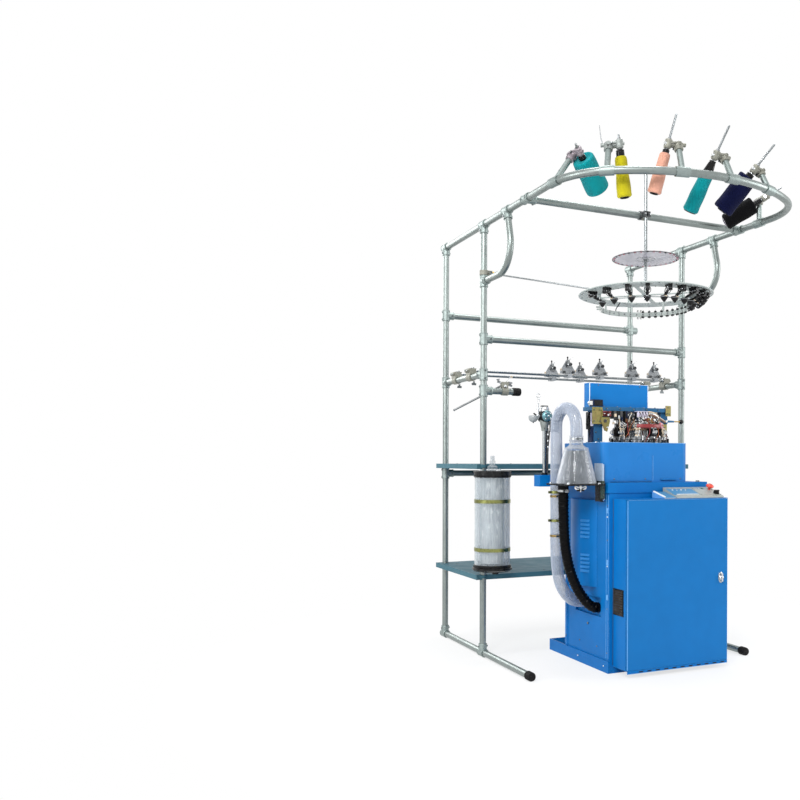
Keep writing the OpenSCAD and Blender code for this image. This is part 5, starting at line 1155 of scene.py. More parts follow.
# Valve head: tapered body, bolted cover, cap, side tube with its knob, curled hook and sensor box
SX, SY, SZ = -455.0, 170.0, 1247.0
k = Kit("valve_head", "cast_grey teal_metal chrome black smoke dark_steel", slot="beige_casting")
k.at((SX, SY, SZ))
k.lathe("10.2 -74, 15 -74, 16 -72, 17.4 -56, 19 -54, 24.6 -24, 24 -8, 10 -8", 32, 0)
for a in (-120, -60, 30):
    k.socket(ray(a, 18, -62), ray(a, 1), 7, 4, 5)
k.turned((0, 30, 0), -Y, "0 0, 26 0, 31 4, 31.4 20, 29.6 22, 31.4 24, 31.4 50, 29 54, 25.6 58, 0 58", 44, 3)
k.turned((0, -27, 0), -Y, "0 0, 28.4 0, 28.8 3, 26 8, 24.6 9, 20 11.6, 18 14.4, 0 15", 44, 1)
for a in (45, 135, 225, 315):
    p = ray(a, 19.6)
    k.socket((p.x, -38.5, p.y), -Y, 8.6, 5, 2)
k.turned((0, -42, 0), -Y, "0 0, 7 0, 6 5, 0 6", 6, 2)
k.turned((-1, -4, 24), Z, "0 0, 22 0, 23 3, 20.6 20, 18 24, 0 24", 36, 2)
k.ring((-1, -4, 36), Z, 21.8, 1.4, 36, 8, 5)
k.box((-20, -12, 48), (14, 6, 54), 3)
k.rod((-32, 0, 0), (-20, 0, 0), 8.6, n=20, m=2)
k.turned((-38, 0, -16), Z, "0 0, 6.6 0, 6.6 14, 8.6 16, 8.6 24, 6.4 26, 6.4 50, 8 52, 8 60, 5 62, 5 74, 0 76",
         24, 2)
k.turned((-38, 0, -12), -X, "0 0, 6 0, 6 6, 10 7, 10 14, 6 15, 6 20, 0 20", 20, 3)
k.turned((-64, 0, -8), -Z, "0 -10, 21 -10, 23.6 -7, 24 0, 22.4 9, 17 17, 9 22, 0 23", 36, 4)
k.turned((-64, 0, -8), -Z, "0 22.6, 3.4 22.6, 3 27, 0 27.4", 14, 3)
k.rod((-48, 0, 4), (-62, 0, 14), 4.4, 3.4, 14, 3)
k.wire("-38 0 58, -38 -3 70, -33 -5 80, -36 -4 90, -46 -2 98, -47 0 108, -38 2 114, -28 1 110, -25 0 102, "
       "-31 -1 96", 2.3, 2, 10, 3)
for z in (64, 74, 84):
    k.ring((-37, -2, z), (1 if z != 74 else 0, 0.2, 0.3 if z != 74 else 1), 4.2, 1.3, 16, 8, 2)
k.boxes((38, -20, -80, 76, 20, -18, 3), (40, -22, -76, 74, -19.4, -24, 5))
k.rod((16, 0, -34), (40, 0, -34), 8, n=20, m=0)
k.wire("24 -8 -74, 20 -12 -110, 17 -9 -150, 18 -5 -178", 3.0, 3, 10, 6)
for z in (-96, -128, -158):
    k.turned((16, -10, z), Z, "3.1 0, 5 0, 5 7, 3.1 7", 12, 2)
k.rod((14, -6, -60), (14, -6, -290), 5.6, n=14, m=5)
k.turned((0, 0, -300), Z, "10.2 0, 16 0, 17 2, 17 12, 15 14, 10.2 14", 32, 3)
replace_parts(k.make(0.5), "air_regulator")

# Filter: ribs and beads of the end caps, bolts and tie rods
FLX, FLY, FL0, FL1 = -684.0, 302.0, 461.0, 970.0
k = Kit("filter_trim", "black chrome", slot="black_plastic")
k.at((FLX, FLY, 0))
for z in (FL0, FL1 - 34):
    for j in range(36):
        k.rod(ray(10 * j, 94.2, z + 6), ray(10 * j, 94.2, z + 28), 1.6, n=6)
    k.ring((0, 0, z + 3), Z, 94, 1.8, 64, 8, 0)
    k.ring((0, 0, z + 31), Z, 94, 1.8, 64, 8, 0)
for j in range(3):
    a = 120 * j - 90 + math.degrees(0.5)
    k.hexbolt(ray(120 * j - 90, 62, FL1), Z, 9, 7, 1)
    k.rod(ray(a, 86, FL0 + 34), ray(a, 86, FL1 - 34), 2.0, n=10, m=1)
k.make(0.4)

# Knitting head: places and sizes that the source uses
CAM_TOP, CASE_TOP, HEAD_LOW = 1138.0, 1112.0, 1274.0

# Selector units: slotted block, jacks, springs, terminal cap and wires
k = Kit("selector_units", "black chrome dark_steel cream white_plastic dull_steel", slot="black_plastic")
for n in range(10):
    a = (n + 0.5) * 36
    pale = a > 270 or a < 60 or 170 < a < 240
    k.at((0, 0, CAM_TOP), Z, ray(a, 1))
    k.boxes((102, -15, 0, 128, 15, 54, 0), (100, -16.5, 0, 132, 16.5, 7, 5),
            (127, -13, 8, 134, 13, 45, 3 if pale else 0))
    for j in range(6):
        y = -11.5 + 4.6 * j
        m = 1 if j % 3 else 2
        k.sweep([V(126, y, 16), V(138, y, 16 + 2 * (j % 2)), V(144, y, 26), V(143, y, 37), V(132, y, 42)],
                1.3, 8, m)
        k.box((142, y - 1, 22 + 3 * (j % 2)), (148, y + 1, 31 + 3 * (j % 2)), 1 if j % 2 else 4)
        k.rod((103, y, 54), (103 - 8, y, 62 + (j % 3) * 3), 1.2, n=8, m=1)
    k.box((110, -14, 45), (138, 14, 48), 3 if pale else 5)
    k.turned((115, 0, 54), Z, "0 0, 9 0, 9 3, 7.4 4, 7.4 10, 5 12.4, 0 12.4", 20, 3 if pale else 0)
    for s in SIDES:
        k.socket((129, 11 * s, 50), X, 5, 3, 1)
        k.socket((106, 10 * s, 54), Z, 5, 3, 1)
        k.coil((123, 9 * s, 54), (123, 9 * s, 70), 2.8, 0.7, 6, 1, 6, 10)
        k.rod((123, 9 * s, 70), (123, 9 * s, 75), 3.2, 2.4, 10, 4 if pale else 2)
k.at()
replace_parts(k.make(0), "actuators")

# Yarn fingers on their ring, with guide tubes, levers, springs and ceramic tips
FINGER = numbers("74 0, 100 0, 100 10, 108 30, 106 46, 98 48, 92 26, 84 22")
k = Kit("finger_set", "bronze chrome cream dark_steel white_plastic", slot="bronze_steel")
k.at((0, 0, 1176))
k.lathe("68 0, 98 0, 98 8, 96 10, 92 10, 92 8, 74 8, 74 10, 70 10, 68 8, 68 0", 96, 0)
for n in range(4):
    p = ray(22.5 + 90 * n, 88, CAM_TOP - 1176)
    k.rod(p, p + Z * 39, 6, n=20, m=1)
    k.turned(p + Z * 38 + Z * 10, Z, "0 0, 7 0, 7 5, 4 6, 0 6", 6, 3)
for n in range(24):
    p = ray(15 * n + 7.5, 83, 8)
    k.socket(p, Z, 5, 3, 3)
for n in range(12):
    a = n * 30
    k.at((0, 0, 1185), Z, ray(a, 1))
    for y in (-4, 2):
        k.prism([(x, y, z) for x, z in FINGER], Y * 2, 0 if n % 2 else 3)
    k.wire("90 0 20, 78 0 26, 66 0 36, 57.5 0 34.6", lambda t: 2.9 - 1.4 * t, 1, 12)
    k.turned((58.4, 0, 35), (-1, 0, -0.35), "0 -2, 2.4 -2, 2.8 0, 2 2.4, 0 2.8", 14, 2)
    k.rod((82, -4.4, 7), (82, 4.4, 7), 4.4, n=16, m=1)
    k.rod((102, -4.4, 36), (102, 4.4, 36), 3.4, n=14, m=1)
    k.coil((84, 5, 12), (100, 5, 32), 2.6, 0.7, 7, 1, 6, 10)
    k.sweep(spline([(103, 0, 42), (108, 3, 56), (102, 6, 66), (90, 4, 70 + (n % 3) * 4)], 4), 1.3, 8,
            (1, 4, 3)[n % 3])
    k.ring((90, 4, 73 + (n % 3) * 4), (0.2, 1, 0.3), 3.6, 1.1, 16, 8, 2)
k.at()
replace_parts(k.make(0), "yarn_fingers")

# Flange of the cam ring: bolts, dark red guard and the pink bush beside it
k = Kit("cam_trim", "dull_steel screw red pink black", slot="dark_steel")
k.at((0, 0, CAM_TOP))
for n in range(20):
    p = ray(18 * n, 92, 0)
    k.socket(p, Z, 7, 5, 1)
k.lathe("119 46, 128 46, 129.5 50, 129.5 64, 127 68, 119 68, 117 64, 117 50, 119 46", 30, 2, 232, 292)
k.lathe("116 48, 131 48, 131 50, 116 50, 116 48", 30, 4, 230, 294)
p = ray(304, 122, 60)
k.ring(p, ray(304, 1, 0.2), 14, 5.5, 32, 12, 3)
k.turned(p - ray(304, 6, 0), ray(304, 1, 0.2), "0 0, 9 0, 9 8, 5 9, 5 4, 0 4", 20, 2)
k.lathe("128.2 -26, 129.6 -25, 129.6 -20, 128.2 -19", 96, 0)
k.lathe("128.2 -10, 131 -8, 131 0, 128 1.4, 126 0", 96, 0)
k.at()
k.make(0.4)

# Lower dark works behind the units: plates, rollers and wires round the cylinder
k = Kit("head_works", "black dark_steel chrome copper white_plastic red", slot="black_plastic")
for n in range(30):
    a = 12 * n + 4
    r = 136 + 5 * (n % 3)
    z = CASE_TOP + 1
    k.at((0, 0, z), Z, ray(a, 1))
    k.box((r, -5, 0), (r + 8, 5, 12 + 5 * (n % 4)), n % 2)
    k.rod((r + 4, 0, 12), (r + 4, 0, 24 + 6 * (n % 3)), 2.4, n=10, m=2)
    if n % 3 == 0:
        k.rod((r + 10, -8, 9), (r + 10, 8, 9), 4.6, n=14, m=2)
        k.rod((r + 10, -6.4, 9), (r + 10, 6.4, 9), 6.4, n=16, m=0)
k.at()
for n in range(16):
    a = 195 + 11 * n
    k.sweep(spline([ray(a, 140, 1118), ray(a + 5, 150 - 3 * (n % 4), 1136 + 6 * (n % 3)),
                    ray(a + 9, 140, 1160), ray(a + 12, 124, 1196), ray(a + 14, 96, 1214 + 5 * (n % 3)),
                    ray(a + 10, 66, 1236 + 4 * (n % 2))], 6), 1.5 + 0.3 * (n % 2), 8,
            (0, 3, 0, 4, 0, 5)[n % 6])
k.make(0)

# Works under the head plate: navy housing, pale solenoids, brown carriage and the sloping links
k = Kit("dial_works", "navy lilac brown chrome black cream brassy red dark_steel", slot="blue_paint")
k.at((0, 0, HEAD_LOW))
k.turned((0, 0, 0), -Z, "48.4 0, 48.4 3, 44 6, 38 12, 34 22, 31 26, 31 28, 19.6 28", 48, 8)
for n in range(6):
    p = ray(60 * n, 41, -8)
    k.socket(p, -Z, 6, 5, 3)
k.boxes((-96, -34, -32, -46, 6, -3, 0), (-92, -37, -28, -50, -33, -8, 8))
for x in (-88, -71, -54):
    k.socket((x, -37, -18), -Y, 6, 4, 3)
k.boxes((-226, -20, -30, -178, 6, -4, 7), (-230, -22, -34, -174, 6, -29, 4))
for x in (-218, -186):
    k.socket((x, -20, -16), -Y, 6, 4, 3)
for n in range(4):
    x = -34 + 17 * n
    k.turned((x, -46, -30), Z, "0 0, 7 0, 7 20, 5 22, 5 28, 0 28", 20, 1)
    k.turned((x, -46, -34), Z, "0 0, 2.6 0, 2.6 5, 0 5", 12, 3)
    k.sweep(spline([(x, -46, -3), (x + 6, -50, -8), (x + 13, -54, -20), (x + 12, -60, -34)], 4), 1.4, 8, 4)
k.box((-42, -52, -3), (32, -12, 0), 1)
k.at()
for q, m, r, dz in ((0, 2, 5.6, 0), (1, 3, 2.8, 9), (2, 5, 3.4, 16), (3, 8, 3.0, -9)):
    k.sweep(spline([V(26, -52, 1256 + dz), V(62, -50, 1250 + dz), V(104, -38, 1236 + dz * 0.5),
                    V(148, -20, 1222 + dz * 0.3)], 8), r, 12, m)
for n in range(8):
    x, y, low = -170 + 22 * n, -32 + 4 * (n % 3), 1234 - 8 * (n % 4)
    k.boxes((x, y, low, x + 16, 5, 1273, 4 if n % 2 else 8), (x + 3, y - 7, low + 8, x + 12, y + 1, low + 24,
                                                              (5, 3, 0, 2)[n % 4]))
    k.rod((x + 8, -16, low + 2), (x + 8, -16, low - 22), 3.2, n=12, m=3)
    k.turned((x + 8, -16, low - 18), -Z, "0 0, 6 0, 6 8, 4 10, 0 10", 14, 4 if n % 3 else 5)
    k.sweep(spline([V(x + 8, y - 5, low + 10), V(x + 2, y - 22, low - 4), V(x - 8, y - 40, low - 34),
                    V(x - 12, y - 58, low - 62)], 5), 1.8, 8, (4, 5, 3, 7)[n % 4])
k.at((24, -58, 1226))
k.boxes((-12, -10, -12, 32, 10, 14, 2), (-16, -13, -16, 10, -8, 8, 6))
k.turned((20, -10, 2), -Y, "0 0, 8 0, 8 4, 3 5, 0 5", 24, 3)
k.turned((-2, -13, -4), -Y, "0 0, 6 0, 6 5, 0 6", 6, 6)
for n in range(5):
    k.rod((-10 + 9 * n, -4, -12), (-14 + 11 * n, -2, -30), 2.2, 1.4, 10, 3 if n % 2 else 5)
k.at()
for n in range(3):
    k.coil((70 + 18 * n, -46 + 5 * n, 1238 - 5 * n), (70 + 18 * n, -44 + 5 * n, 1206 - 4 * n), 3.4, 0.8, 8, 3,
           6, 10)
k.make(0)

# Lever: blue hub and link, brass rod and black ball
k = Kit("lever_set", "steel_blue brassy black_gloss chrome", slot="blue_paint", body="lever")
PX, PY, PZ = 165.0, 3.7, 1228.0
k.turned((PX, PY, PZ), -Y, "0 0, 13 0, 13 1, 12.4 13, 11 14, 0 14", 32, 0)
k.rod((PX, PY - 2, PZ), (PX, PY + 28, PZ), 4.98, n=20, m=3)
k.hexbolt((PX, PY - 14, PZ), -Y, 7, 5, 3)
k.rod((PX, PY - 7, PZ), (PX + 50, PY - 7, PZ), 6.6, 4.6, 18, 0)
k.rod((PX + 48, PY - 7, PZ), (PX + 88, PY - 7, PZ), 3.2, n=14, m=1)
k.turned((PX + 84, PY - 7, PZ), X, "3.2 0, 5 0, 5.6 3, 4 5, 0 5", 16, 1)
k.ball((PX + 97, PY - 7, PZ), 12.6, 28, 2)
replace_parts(k.make(0.3), "head_lever")

# Parts on the column and the arch: navy block, pale strip, black strip, cables and screws
k = Kit("column_parts", "navy lilac black chrome white_plastic screw steel_blue", slot="black_plastic")
k.boxes((-276, -14, 1294, -222, 24, 1328, 0), (-272, -17, 1298, -226, -13, 1324, 2),
        (-290, -6, 1300, -275, 16, 1320, 4))
k.turned((-291, 4, 1310), -X, "0 0, 7 0, 7 5, 4 7, 0 7", 18, 3)
k.boxes((-278, 8, 1196, -264, 44, 1262, 1), (-290, 14, 1180, -277, 38, 1266, 2),
        (-276, 6, 1112, -264, 40, 1190, 0))
k.wire("-284 20 1262, -294 18 1240, -296 18 1214, -286 22 1184, -276 26 1150, -270 30 1114", 3.4, 2, 10, 6)
k.rod((-298, 22, 1206), (-286, 22, 1206), 4.6, n=14, m=2)
for z in (1132, 1166, 1204, 1240):
    k.socket((-239 - 14 * (z % 4 > 1), 4, z), -Y, 7, 4, 5)
for x in (-264, -200, -120, -40, 40, 110, 170):
    k.socket((x, -12, 1284), -Y, 7, 4, 5)
    k.socket((x, 16, 1294), Z, 8, 5, 5)
for x, y in ((-255, 12), (-224, 12), (-255, 56), (-224, 56)):
    k.hexbolt((x, y - 16 if y < 20 else y + 12, 1112), Z, 9, 6, 3)
k.box((-270, -6, 1112), (-206, 72, 1117), 6)
k.make(0.8)

# Yellow plates: holes, screws and the pin of the lobed plate
k = Kit("plate_screws", "screw chrome dark_steel", slot="yellow_zinc")
for x, z in ((-274, 1276), (-240, 1276), (-274, 1220), (-240, 1220)):
    k.socket((x, -16, z), -Y, 7, 4, 0)
k.turned((-212, -20, 1222), -Y, "0 0, 9 0, 9 2, 5 3, 4.4 1, 0 1", 24, 2)
k.turned((-196, -20, 1252), -Y, "0 0, 6 0, 6 4, 0 5", 6, 1)
k.turned((-200, -20, 1190), -Y, "0 0, 5 0, 5 4, 0 5", 6, 1)
for x, z in ((164, 1266), (180, 1266), (172, 1298)):
    k.socket((x, -16, z), -Y, 6, 4, 0)
for z in (1126, 1160, 1196):
    k.socket((165, 8, z), -Y, 7, 4, 0)
k.make(0.3)

# Cover of the head: pale strips on its folded edges, painted highlights where they catch the light, and
# screws
k = Kit("cover_trim", "pale_edge screw blue_head", slot="blue_paint")
for x in (-275.4, 73.4):
    k.strip((x, 26.6, 1296), (x, 26.6, 1412), 9, 1.9, 0, 10)
k.strip((-274, 26.6, 1413.2), (73, 26.6, 1413.2), 21, 1.1)
for x in (-226, 22):
    k.screw((x, 55, 1414), Z, 9, 3, 1)
    k.turned((x, 26, 1404), -Y, "0 0, 3.4 0, 3 2, 0 2.2", 14, 1)
k.box((-272, 24, 1294.2), (70, 27, 1299), 2)
k.make(0.3)

# Screws of the dial and a bright brass ring at its seat
k = Kit("dial_details", "dark_steel brassy", slot="bright_steel", body="dial_head")
for n in range(12):
    k.socket(ray(30 * n, 36, 1233), Z, 5, 3, 0)
k.turned((0, 0, 1233), Z, "27 0, 30 0, 30 2.4, 27 3", 48, 1)
k.make(0.2)

# Cabinet: places that the source uses
CAB_L, CAB_R, CAB_F, CAB_B = -280.0, 330.0, -177.0, 260.0
BOX_L, BOX_R, BOX_F = -261.0, 325.0, -305.0
PANEL_MID, PANEL_N = V(0, -243, 871), V(0, -0.340441, 0.940266)

# Raised hoods over the louvres of the duct cover, in a lighter blue that paints the highlights on them
k = Kit("louvre_hoods", "louvre_blue", slot="blue_paint")
rr = (262 * 262 / 4 + 44 * 44) / 88
for g in (470, 640):
    for n in range(5):
        z = g + 20 * n + 7
        rows = []
        for i in range(11):
            y = 72 - 92 - 3 + 56 * i / 10
            x = CAB_L - 44 + rr - math.sqrt(rr * rr - (y - 72) ** 2)
            b = math.sin(math.pi * min(max(i / 10, 0.04), 0.96)) ** 0.5
            rows.append([V(x - 0.2, y, z + 4), V(x - 2.4 * b, y, z + 2.5), V(x - 5.4 * b, y, z - 3),
                         V(x - 5.8 * b, y, z - 7), V(x - 4.6 * b, y, z - 7.4), V(x - 3.6 * b, y, z - 3),
                         V(x - 0.2, y, z + 1)])
        points = [p for row in rows for p in row]
        q = len(rows[0])
        ends = [range(q - 1, -1, -1), range(10 * q, 11 * q)]
        k.add(points, tube_faces(len(rows), q) + ends)
k.make(0)

# Corner strips of lighter blue that paint highlights on the cabinet's edges, screws and small hinges of the
# cabinet
k = Kit("cabinet_trim", "edge_blue dark_steel screw white_plastic", slot="blue_paint")
for y in (-170.6, -151.6, 254.2):
    k.strip((-284.2, y, 70), (-284.2, y, 860), 31, 1.1)
k.strip((BOX_L - 0.3, BOX_F + 0.3, 40), (BOX_L - 0.3, BOX_F + 0.3, 836), 31, 1.0)
# Dark strip in the inner corner between the front box and the cabinet: painted shade
k.strip((BOX_L - 0.6, CAB_F - 1.2, 40), (BOX_L - 0.6, CAB_F - 1.2, 836), 31, 1.2, 1)
for z in (806, 752, 640, 514, 360, 309, 96):
    k.screw((-284, -161, z), -X, 7, 2.6, 2 if z not in (752, 514, 360) else 3)
for z in (770, 520, 352):
    k.turned((-287, -168, z), Z, "0 0, 3.4 0, 3.4 26, 0 26", 14, 0)
    k.box((-286.6, -168, z + 2), (-284, -154, z + 24), 0)
for y, z in ((245, 110), (245, 300), (245, 560), (245, 820), (-60, 110), (110, 110)):
    k.screw((-284 if y > 200 else -280, y, z), -X, 8, 2.6, 2)
for y in (-136, 115):
    k.screw((-288, y, 30), -X, 7, 3, 3)
for y in (-136, 115, 330):
    k.screw((338, y, 30), X, 10, 3.2, 3)
for x in (-200, 0, 200, 290):
    k.screw((x, 423, 30), Y, 10, 3.2, 2)
for x, y in ((-250, 240), (250, 240), (-282, -60), (-282, 120), (250, -160), (280, 20)):
    k.hexbolt((x, y, 918), Z, 12, 7, 2)
for y, z in ((24, 210), (60, 310)):
    k.turned((CAB_L - 3, y, z), -X, "0 0, 6 0, 6 2, 4 4, 0 4", 6, 2)
k.make(0)

# Door: pressed border and the lock's plate
k = Kit("door_trim", "edge_blue steel screw", slot="blue_paint", body="door")
# Pale strips along the door's pressed border: painted highlights on its edges
for x in (BOX_L + 1.2, BOX_R - 1.2):
    k.strip((x, BOX_F - 0.2, 40), (x, BOX_F - 0.2, 836), 31, 0.9)
k.strip((BOX_L + 3, BOX_F - 0.2, 837.6), (BOX_L + 583, BOX_F - 0.2, 837.6), 31, 0.9)
k.at((283, BOX_F, 448), -Y, X)
oval = [ray(a, 1) for a in range(0, 360, 9)]
rings = numbers("12.8 12.8 0, 15 27 0, 15 27 2.2, 13.6 25 3.4, 12.8 12.8 3.4")
k.add([(p.x * a, p.y * b, h) for a, b, h in rings for p in oval],
      tube_faces(len(rings), len(oval), loop=True), 1)
for y in (-19, 19):
    k.screw((0, y, 3.2), Z, 4.6, 2, 2)
k.at()
k.make(0.3)

# Turning handle of the door's lock
k = Kit("lock_trim", "chrome dark_steel", slot="bright_steel", body="lock")
k.at((283, BOX_F - 5, 448), -Y, X)
k.turned((0, 0, 0), Z, "4.6 0, 11 0, 11 2, 8 5, 4.6 5", 32, 0)
k.turned((0, 0, 10), Z, "0 0, 5.6 0, 5.6 3, 3 4.4, 0 4.4", 24, 0)
k.box((-1.2, -3.6, 14), (1.2, 3.6, 14.8), 1)
k.at()
k.make(0.3)

# Dark slanted slots along the front flange, black prisms that paint the shade inside them, and its pale edge,
# a painted highlight
k = Kit("flange_slots", "black edge_blue", slot="blue_paint")
for n in range(11):
    x, y = BOX_L + 62 + 48 * n, BOX_F - 0.6
    k.prism([(x, y, 26), (x + 23, y, 26), (x + 28, y, 31.5), (x + 5, y, 31.5)], Y * 0.8)
k.strip((BOX_L + 2, BOX_F - 0.2, 22.6), (BOX_L + 584, BOX_F - 0.2, 22.6), 31, 0.9, 1)
k.make(0.2)

# Dirty wire net in the vent
k = Kit("vent_net", "vent_wire black", slot="black_paint")
for n in range(15):
    y = -265 + 77 * n / 14
    k.sweep([V(-264.2 - 0.9 * (j % 2), y, 291 + 116 * j / 24) for j in range(25)], 1.0, 6, 0)
for n in range(23):
    z = 292 + 114 * n / 22
    k.sweep([V(-264.2 - 0.9 * ((j + 1) % 2), -266 + 79 * j / 16, z) for j in range(17)], 1.0, 6, 0)
for y in (-269, -185):
    for z in (290, 349, 408):
        k.screw((-263, y, z), -X, 5, 1.8, 1)
k.make(0)

# Casing: painted highlight along its top edge, a pale strip of painted highlight on the seam, a navy strip
# along its foot, screws and the lifting lip
k = Kit("casing_trim", "edge_blue blue_head screw navy", slot="blue_paint")
left, right, front, back, r = -300.0, 200.0, -150.0, 265.0, 34.0
RIM = CASE_TOP - 0.4
path = [V(left, back - r - 4, RIM), V(left, front + r + 4, RIM)]
path += [V(left + r, front + r, RIM) - ray(a, r) for a in range(0, 91, 10)]
path += [V(left + r + 8 + (right - left - 2 * r - 16) * i / 20, front, RIM) for i in range(21)]
path += [V(right - r, front + r, RIM) + ray(a - 90, r) for a in range(0, 91, 10)]
path += [V(right, front + r + 4, RIM), V(right, back - r - 4, RIM)]
k.sweep(path, 1.5, 8, 0)
k.strip((-14.6, front - 0.2, 924), (-14.6, front - 0.2, 1050), 13, 1.0)
# Navy strip along the casing's foot: partly a dark bar, partly painted shade of the gap below
k.strip((-262, front - 0.4, 919.6), (-22, front - 0.4, 919.6), 21, 1.5, 3)
for x in (-240, -60, 40, 150):
    k.screw((x, front, 934), -Y, 7, 2.4, 2)
for y in (-90, 60, 200):
    k.screw((left, y, 934), -X, 7, 2.4, 2)
    k.screw((right, y, 934), X, 7, 2.4, 2)
k.boxes((30, front - 5, 926, 120, front, 929, 1), (30, front - 5, 926, 120, front - 3.4, 936, 1))
k.make(0.4)

# Panel plates: blue-grey plate with its pale end, a painted highlight, sandy plate with room for the two
# buttons
k = Kit("panel_plates", "slate panel white_plastic green chrome screw edge_blue", slot="grey_panel")
k.at(PANEL_MID, PANEL_N, X)
k.boxes((37, -37, -2.7, 175, 37, 0.4, 0), (37, -37, 0.4, 170, -33.6, 2.2, 2),
        (44, -30, 0.4, 166, -28.6, 1.6, 2), (22.5, -40, 0.1, 35.5, 41, 1.4, 0))
for lo, hi in (((180, -44), (268, 44)), ((268, -44), (288, -39)), ((268, -21), (288, 16)),
               ((268, 35), (288, 44)), ((288, -44), (302, 44))):
    k.box((lo[0], lo[1], 0.1), (hi[0], hi[1], 1.5), 1)
for x, y in ((184, -40), (184, 40), (298, -40), (298, 40)):
    k.screw((x, y, 1.5), Z, 4.6, 1.6, 5)
k.turned((236, 32, 1.5), Z, "0 0, 6 0, 6 3, 4.6 5, 0 5.4", 24, 3)
k.turned((214, 32, 1.5), Z, "0 0, 4 0, 4 2, 2.6 3, 0 3", 20, 4)
k.ring((236, 32, 2), Z, 6.8, 0.9, 28, 8, 4)
for n in range(4):
    k.turned((52 + 26 * n, 24, 0.4), Z, "0 0, 4.4 0, 4.2 1.6, 3.4 2, 0 2", 20, (2, 4, 2, 4)[n])
k.at()
low = 842.4
for x0, x1, t, m in ((-50, 19.4, 0, 0), (-51.2, -49.4, 0.8, 6)):
    end = [(x0, -299 - t, low), (x0, -198 + t, low), (x0, -198 + t, low + 30 + t),
           (x0, -299 - t, low + 5 + t)]
    k.prism(end, X * (x1 - x0), m)
k.rod((-46, -297, 849), (-46, -204, 872), 5.4, 5.4, 24, 2)
k.box((-50, -300.6, 843), (18, -299.2, 845), 2)
k.make(0.3)

# Stop button: collar and ribbed rim; knob: pale pointer
k = Kit("stop_trim", "coral red", slot="red_plastic", body="stop_button")
EST = V(277, -219, 879.69)
k.at(EST + PANEL_N * 12, PANEL_N, X)
for n in range(24):
    k.rod(ray(15 * n, 18.8, 4.6), ray(15 * n, 18.8, 8.6), 0.9, n=8)
k.ring((0, 0, 17.2), Z, 7.6, 0.7, 36, 8, 1)
k.at()
k.make(0)
k = Kit("knob_trim", "white_plastic black_gloss", slot="black_plastic", body="selector")
KN = V(279, -271, 860.862)
k.at(KN + PANEL_N * 2, PANEL_N, X)
k.box((-0.9, 2, 17.9), (0.9, 13, 18.6), 0)
for n in range(20):
    k.rod(ray(18 * n + 9, 14, 1), ray(18 * n + 9, 14, 7), 0.8, n=8, m=1)
k.at()
k.make(0)

# Bolts of the shelves
k = Kit("shelf_trim", "screw", slot="teal_grey_paint")
for z in (428, 1003):
    for x in (-640, -300, 100, 480):
        for y in (470, 900):
            k.screw((x, y, z), Z, 9, 2.6, 0)
k.make(0.3)

# Back and right side of the cabinet: service panels, louvres, handles and the cable gland
k = Kit("service_panels", "blue_door screw black chrome", slot="blue_paint")
k.box((-236, CAB_B, 130), (286, CAB_B + 3, 800), 0)
for x, z in ((-220, 146), (270, 146), (-220, 784), (270, 784), (25, 146), (25, 784)):
    k.screw((x, CAB_B + 3, z), Y, 9, 2.8, 1)
for s in SIDES:
    for n in range(8):
        z = 560 + 22 * n
        x0 = 25 + s * 110 - 60
        k.prism([(x0, CAB_B + 3, z), (x0, CAB_B + 9, z - 8), (x0, CAB_B + 3, z - 11)], X * 120)
for z in (360, 480):
    k.turned((25, CAB_B + 3, z), Y, "0 0, 8 0, 8 4, 5 6, 5 24, 0 24", 20, 3)
k.rod((25, CAB_B + 24, 354), (25, CAB_B + 24, 486), 5, n=20, m=3)
k.turned((-180, CAB_B, 96), Y, "0 0, 17 0, 17 6, 13 7, 13 20, 9 26, 6 26, 6 14, 0 14", 28, 2)
k.box((CAB_R, -140, 130), (CAB_R + 3, 226, 800), 0)
for y, z in ((-126, 146), (212, 146), (-126, 784), (212, 784)):
    k.screw((CAB_R + 3, y, z), X, 9, 2.8, 1)
for n in range(8):
    z = 600 + 20 * n
    k.prism([(CAB_R + 3, -20, z), (CAB_R + 9, -20, z - 8), (CAB_R + 3, -20, z - 11)], Y * 130, flip=True)
k.make(0.5)

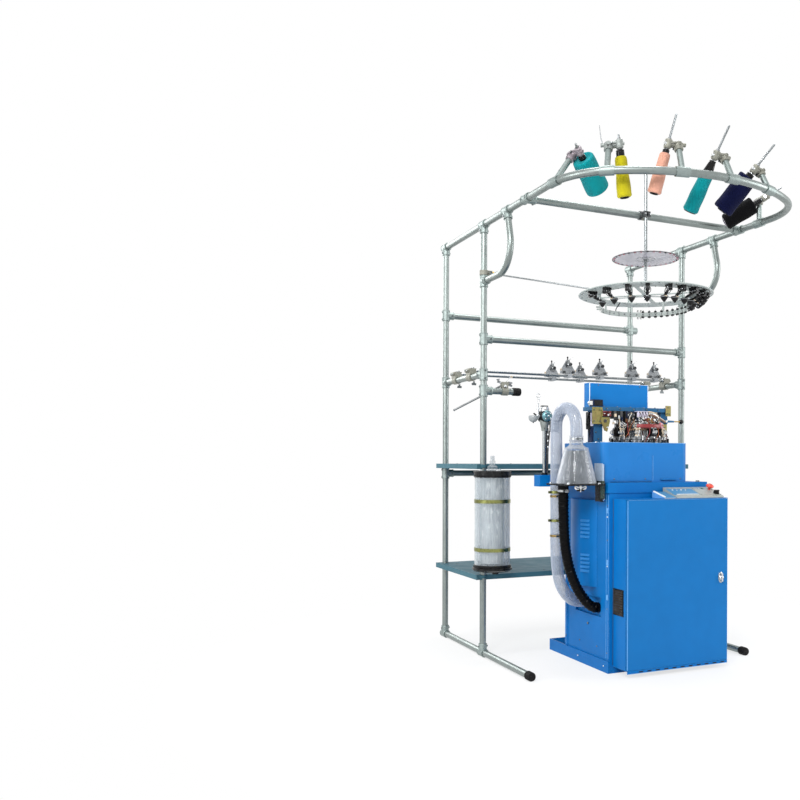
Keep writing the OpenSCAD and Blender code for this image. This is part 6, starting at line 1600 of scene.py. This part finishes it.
# Electrical box: fins, terminals, buttons and wires of the units on the mounting plate
k = Kit("control_parts", "grey_plastic black green screw brown white_plastic red dark_steel",
        slot="grey_panel")
for n in range(14):
    x = -176 + 12 * n
    k.box((x, -262, 640), (x + 4, -256.9, 708), 7)
k.boxes((-172, -260, 560, -60, -256.9, 626, 1), (-164, -261, 596, -110, -259.6, 620, 2))
for n in range(6):
    k.turned((-40, -256.7, 564 + 11 * n), -Y, "0 0, 3.6 0, 3.6 2, 2.6 3, 0 3", 16, (6, 5)[n % 2])
for n in range(12):
    z = 560 + 10 * n
    k.box((56, -245.4, z), (176, -244.1, z + 3.6), 7)
for n in range(9):
    k.box((188, -250, 556 + 14 * n), (216, -244.1, 566 + 14 * n), 2 if n % 2 else 0)
    k.socket((202, -250, 561 + 14 * n), -Y, 5, 3, 3)
for n in range(26):
    x = -176 + 15.4 * n
    k.box((x, -243, 200), (x + 12, -231.3, 240), (0, 0, 0, 2)[n % 4])
    for z in (208, 232):
        k.socket((x + 6, -243, z), -Y, 5, 2.6, 3)
    if n % 2 == 0:
        k.sweep(spline([V(x + 6, -240, 240), V(x + 6, -246, 262), V(x + 4, -226, 284),
                        V(-30 + 1.2 * n, -200 - (n % 3) * 4, 300 + n)], 6), 1.7, 8, (1, 6, 5, 4)[n // 2 % 4])
k.box((-160, -246, 336), (-62, -239, 416), 1)
for n in range(3):
    k.turned((-142 + 31 * n, -246, 376), -Y, "0 0, 9 0, 9 4, 7 6, 0 6", 24, (2, 6, 5)[n])
    k.socket((-142 + 31 * n, -239, 428), -Y, 7, 3, 3)
for n in range(7):
    x = -29 + 3.9 * n
    k.sweep(spline([V(x, -190 - 3 * (n % 2), 300), V(x, -190 - 3 * (n % 2), 420), V(x, -192, 500),
                    V(x + (14 if n > 3 else -6) * 0.6, -196, 530),
                    V(x + (44 if n > 3 else -14), -212, 552 + 4 * n)], 10), 1.8, 8, (1, 6, 5, 4, 1, 7, 4)[n])
for z in (340, 400, 460):
    k.box((-34, -197, z), (0, -187, z + 4), 5)
for x in (-214, 278):
    for z in (100, 438, 776):
        k.hexbolt((x, -182.5, z), -Y, 10, 5, 3)
k.make(0)
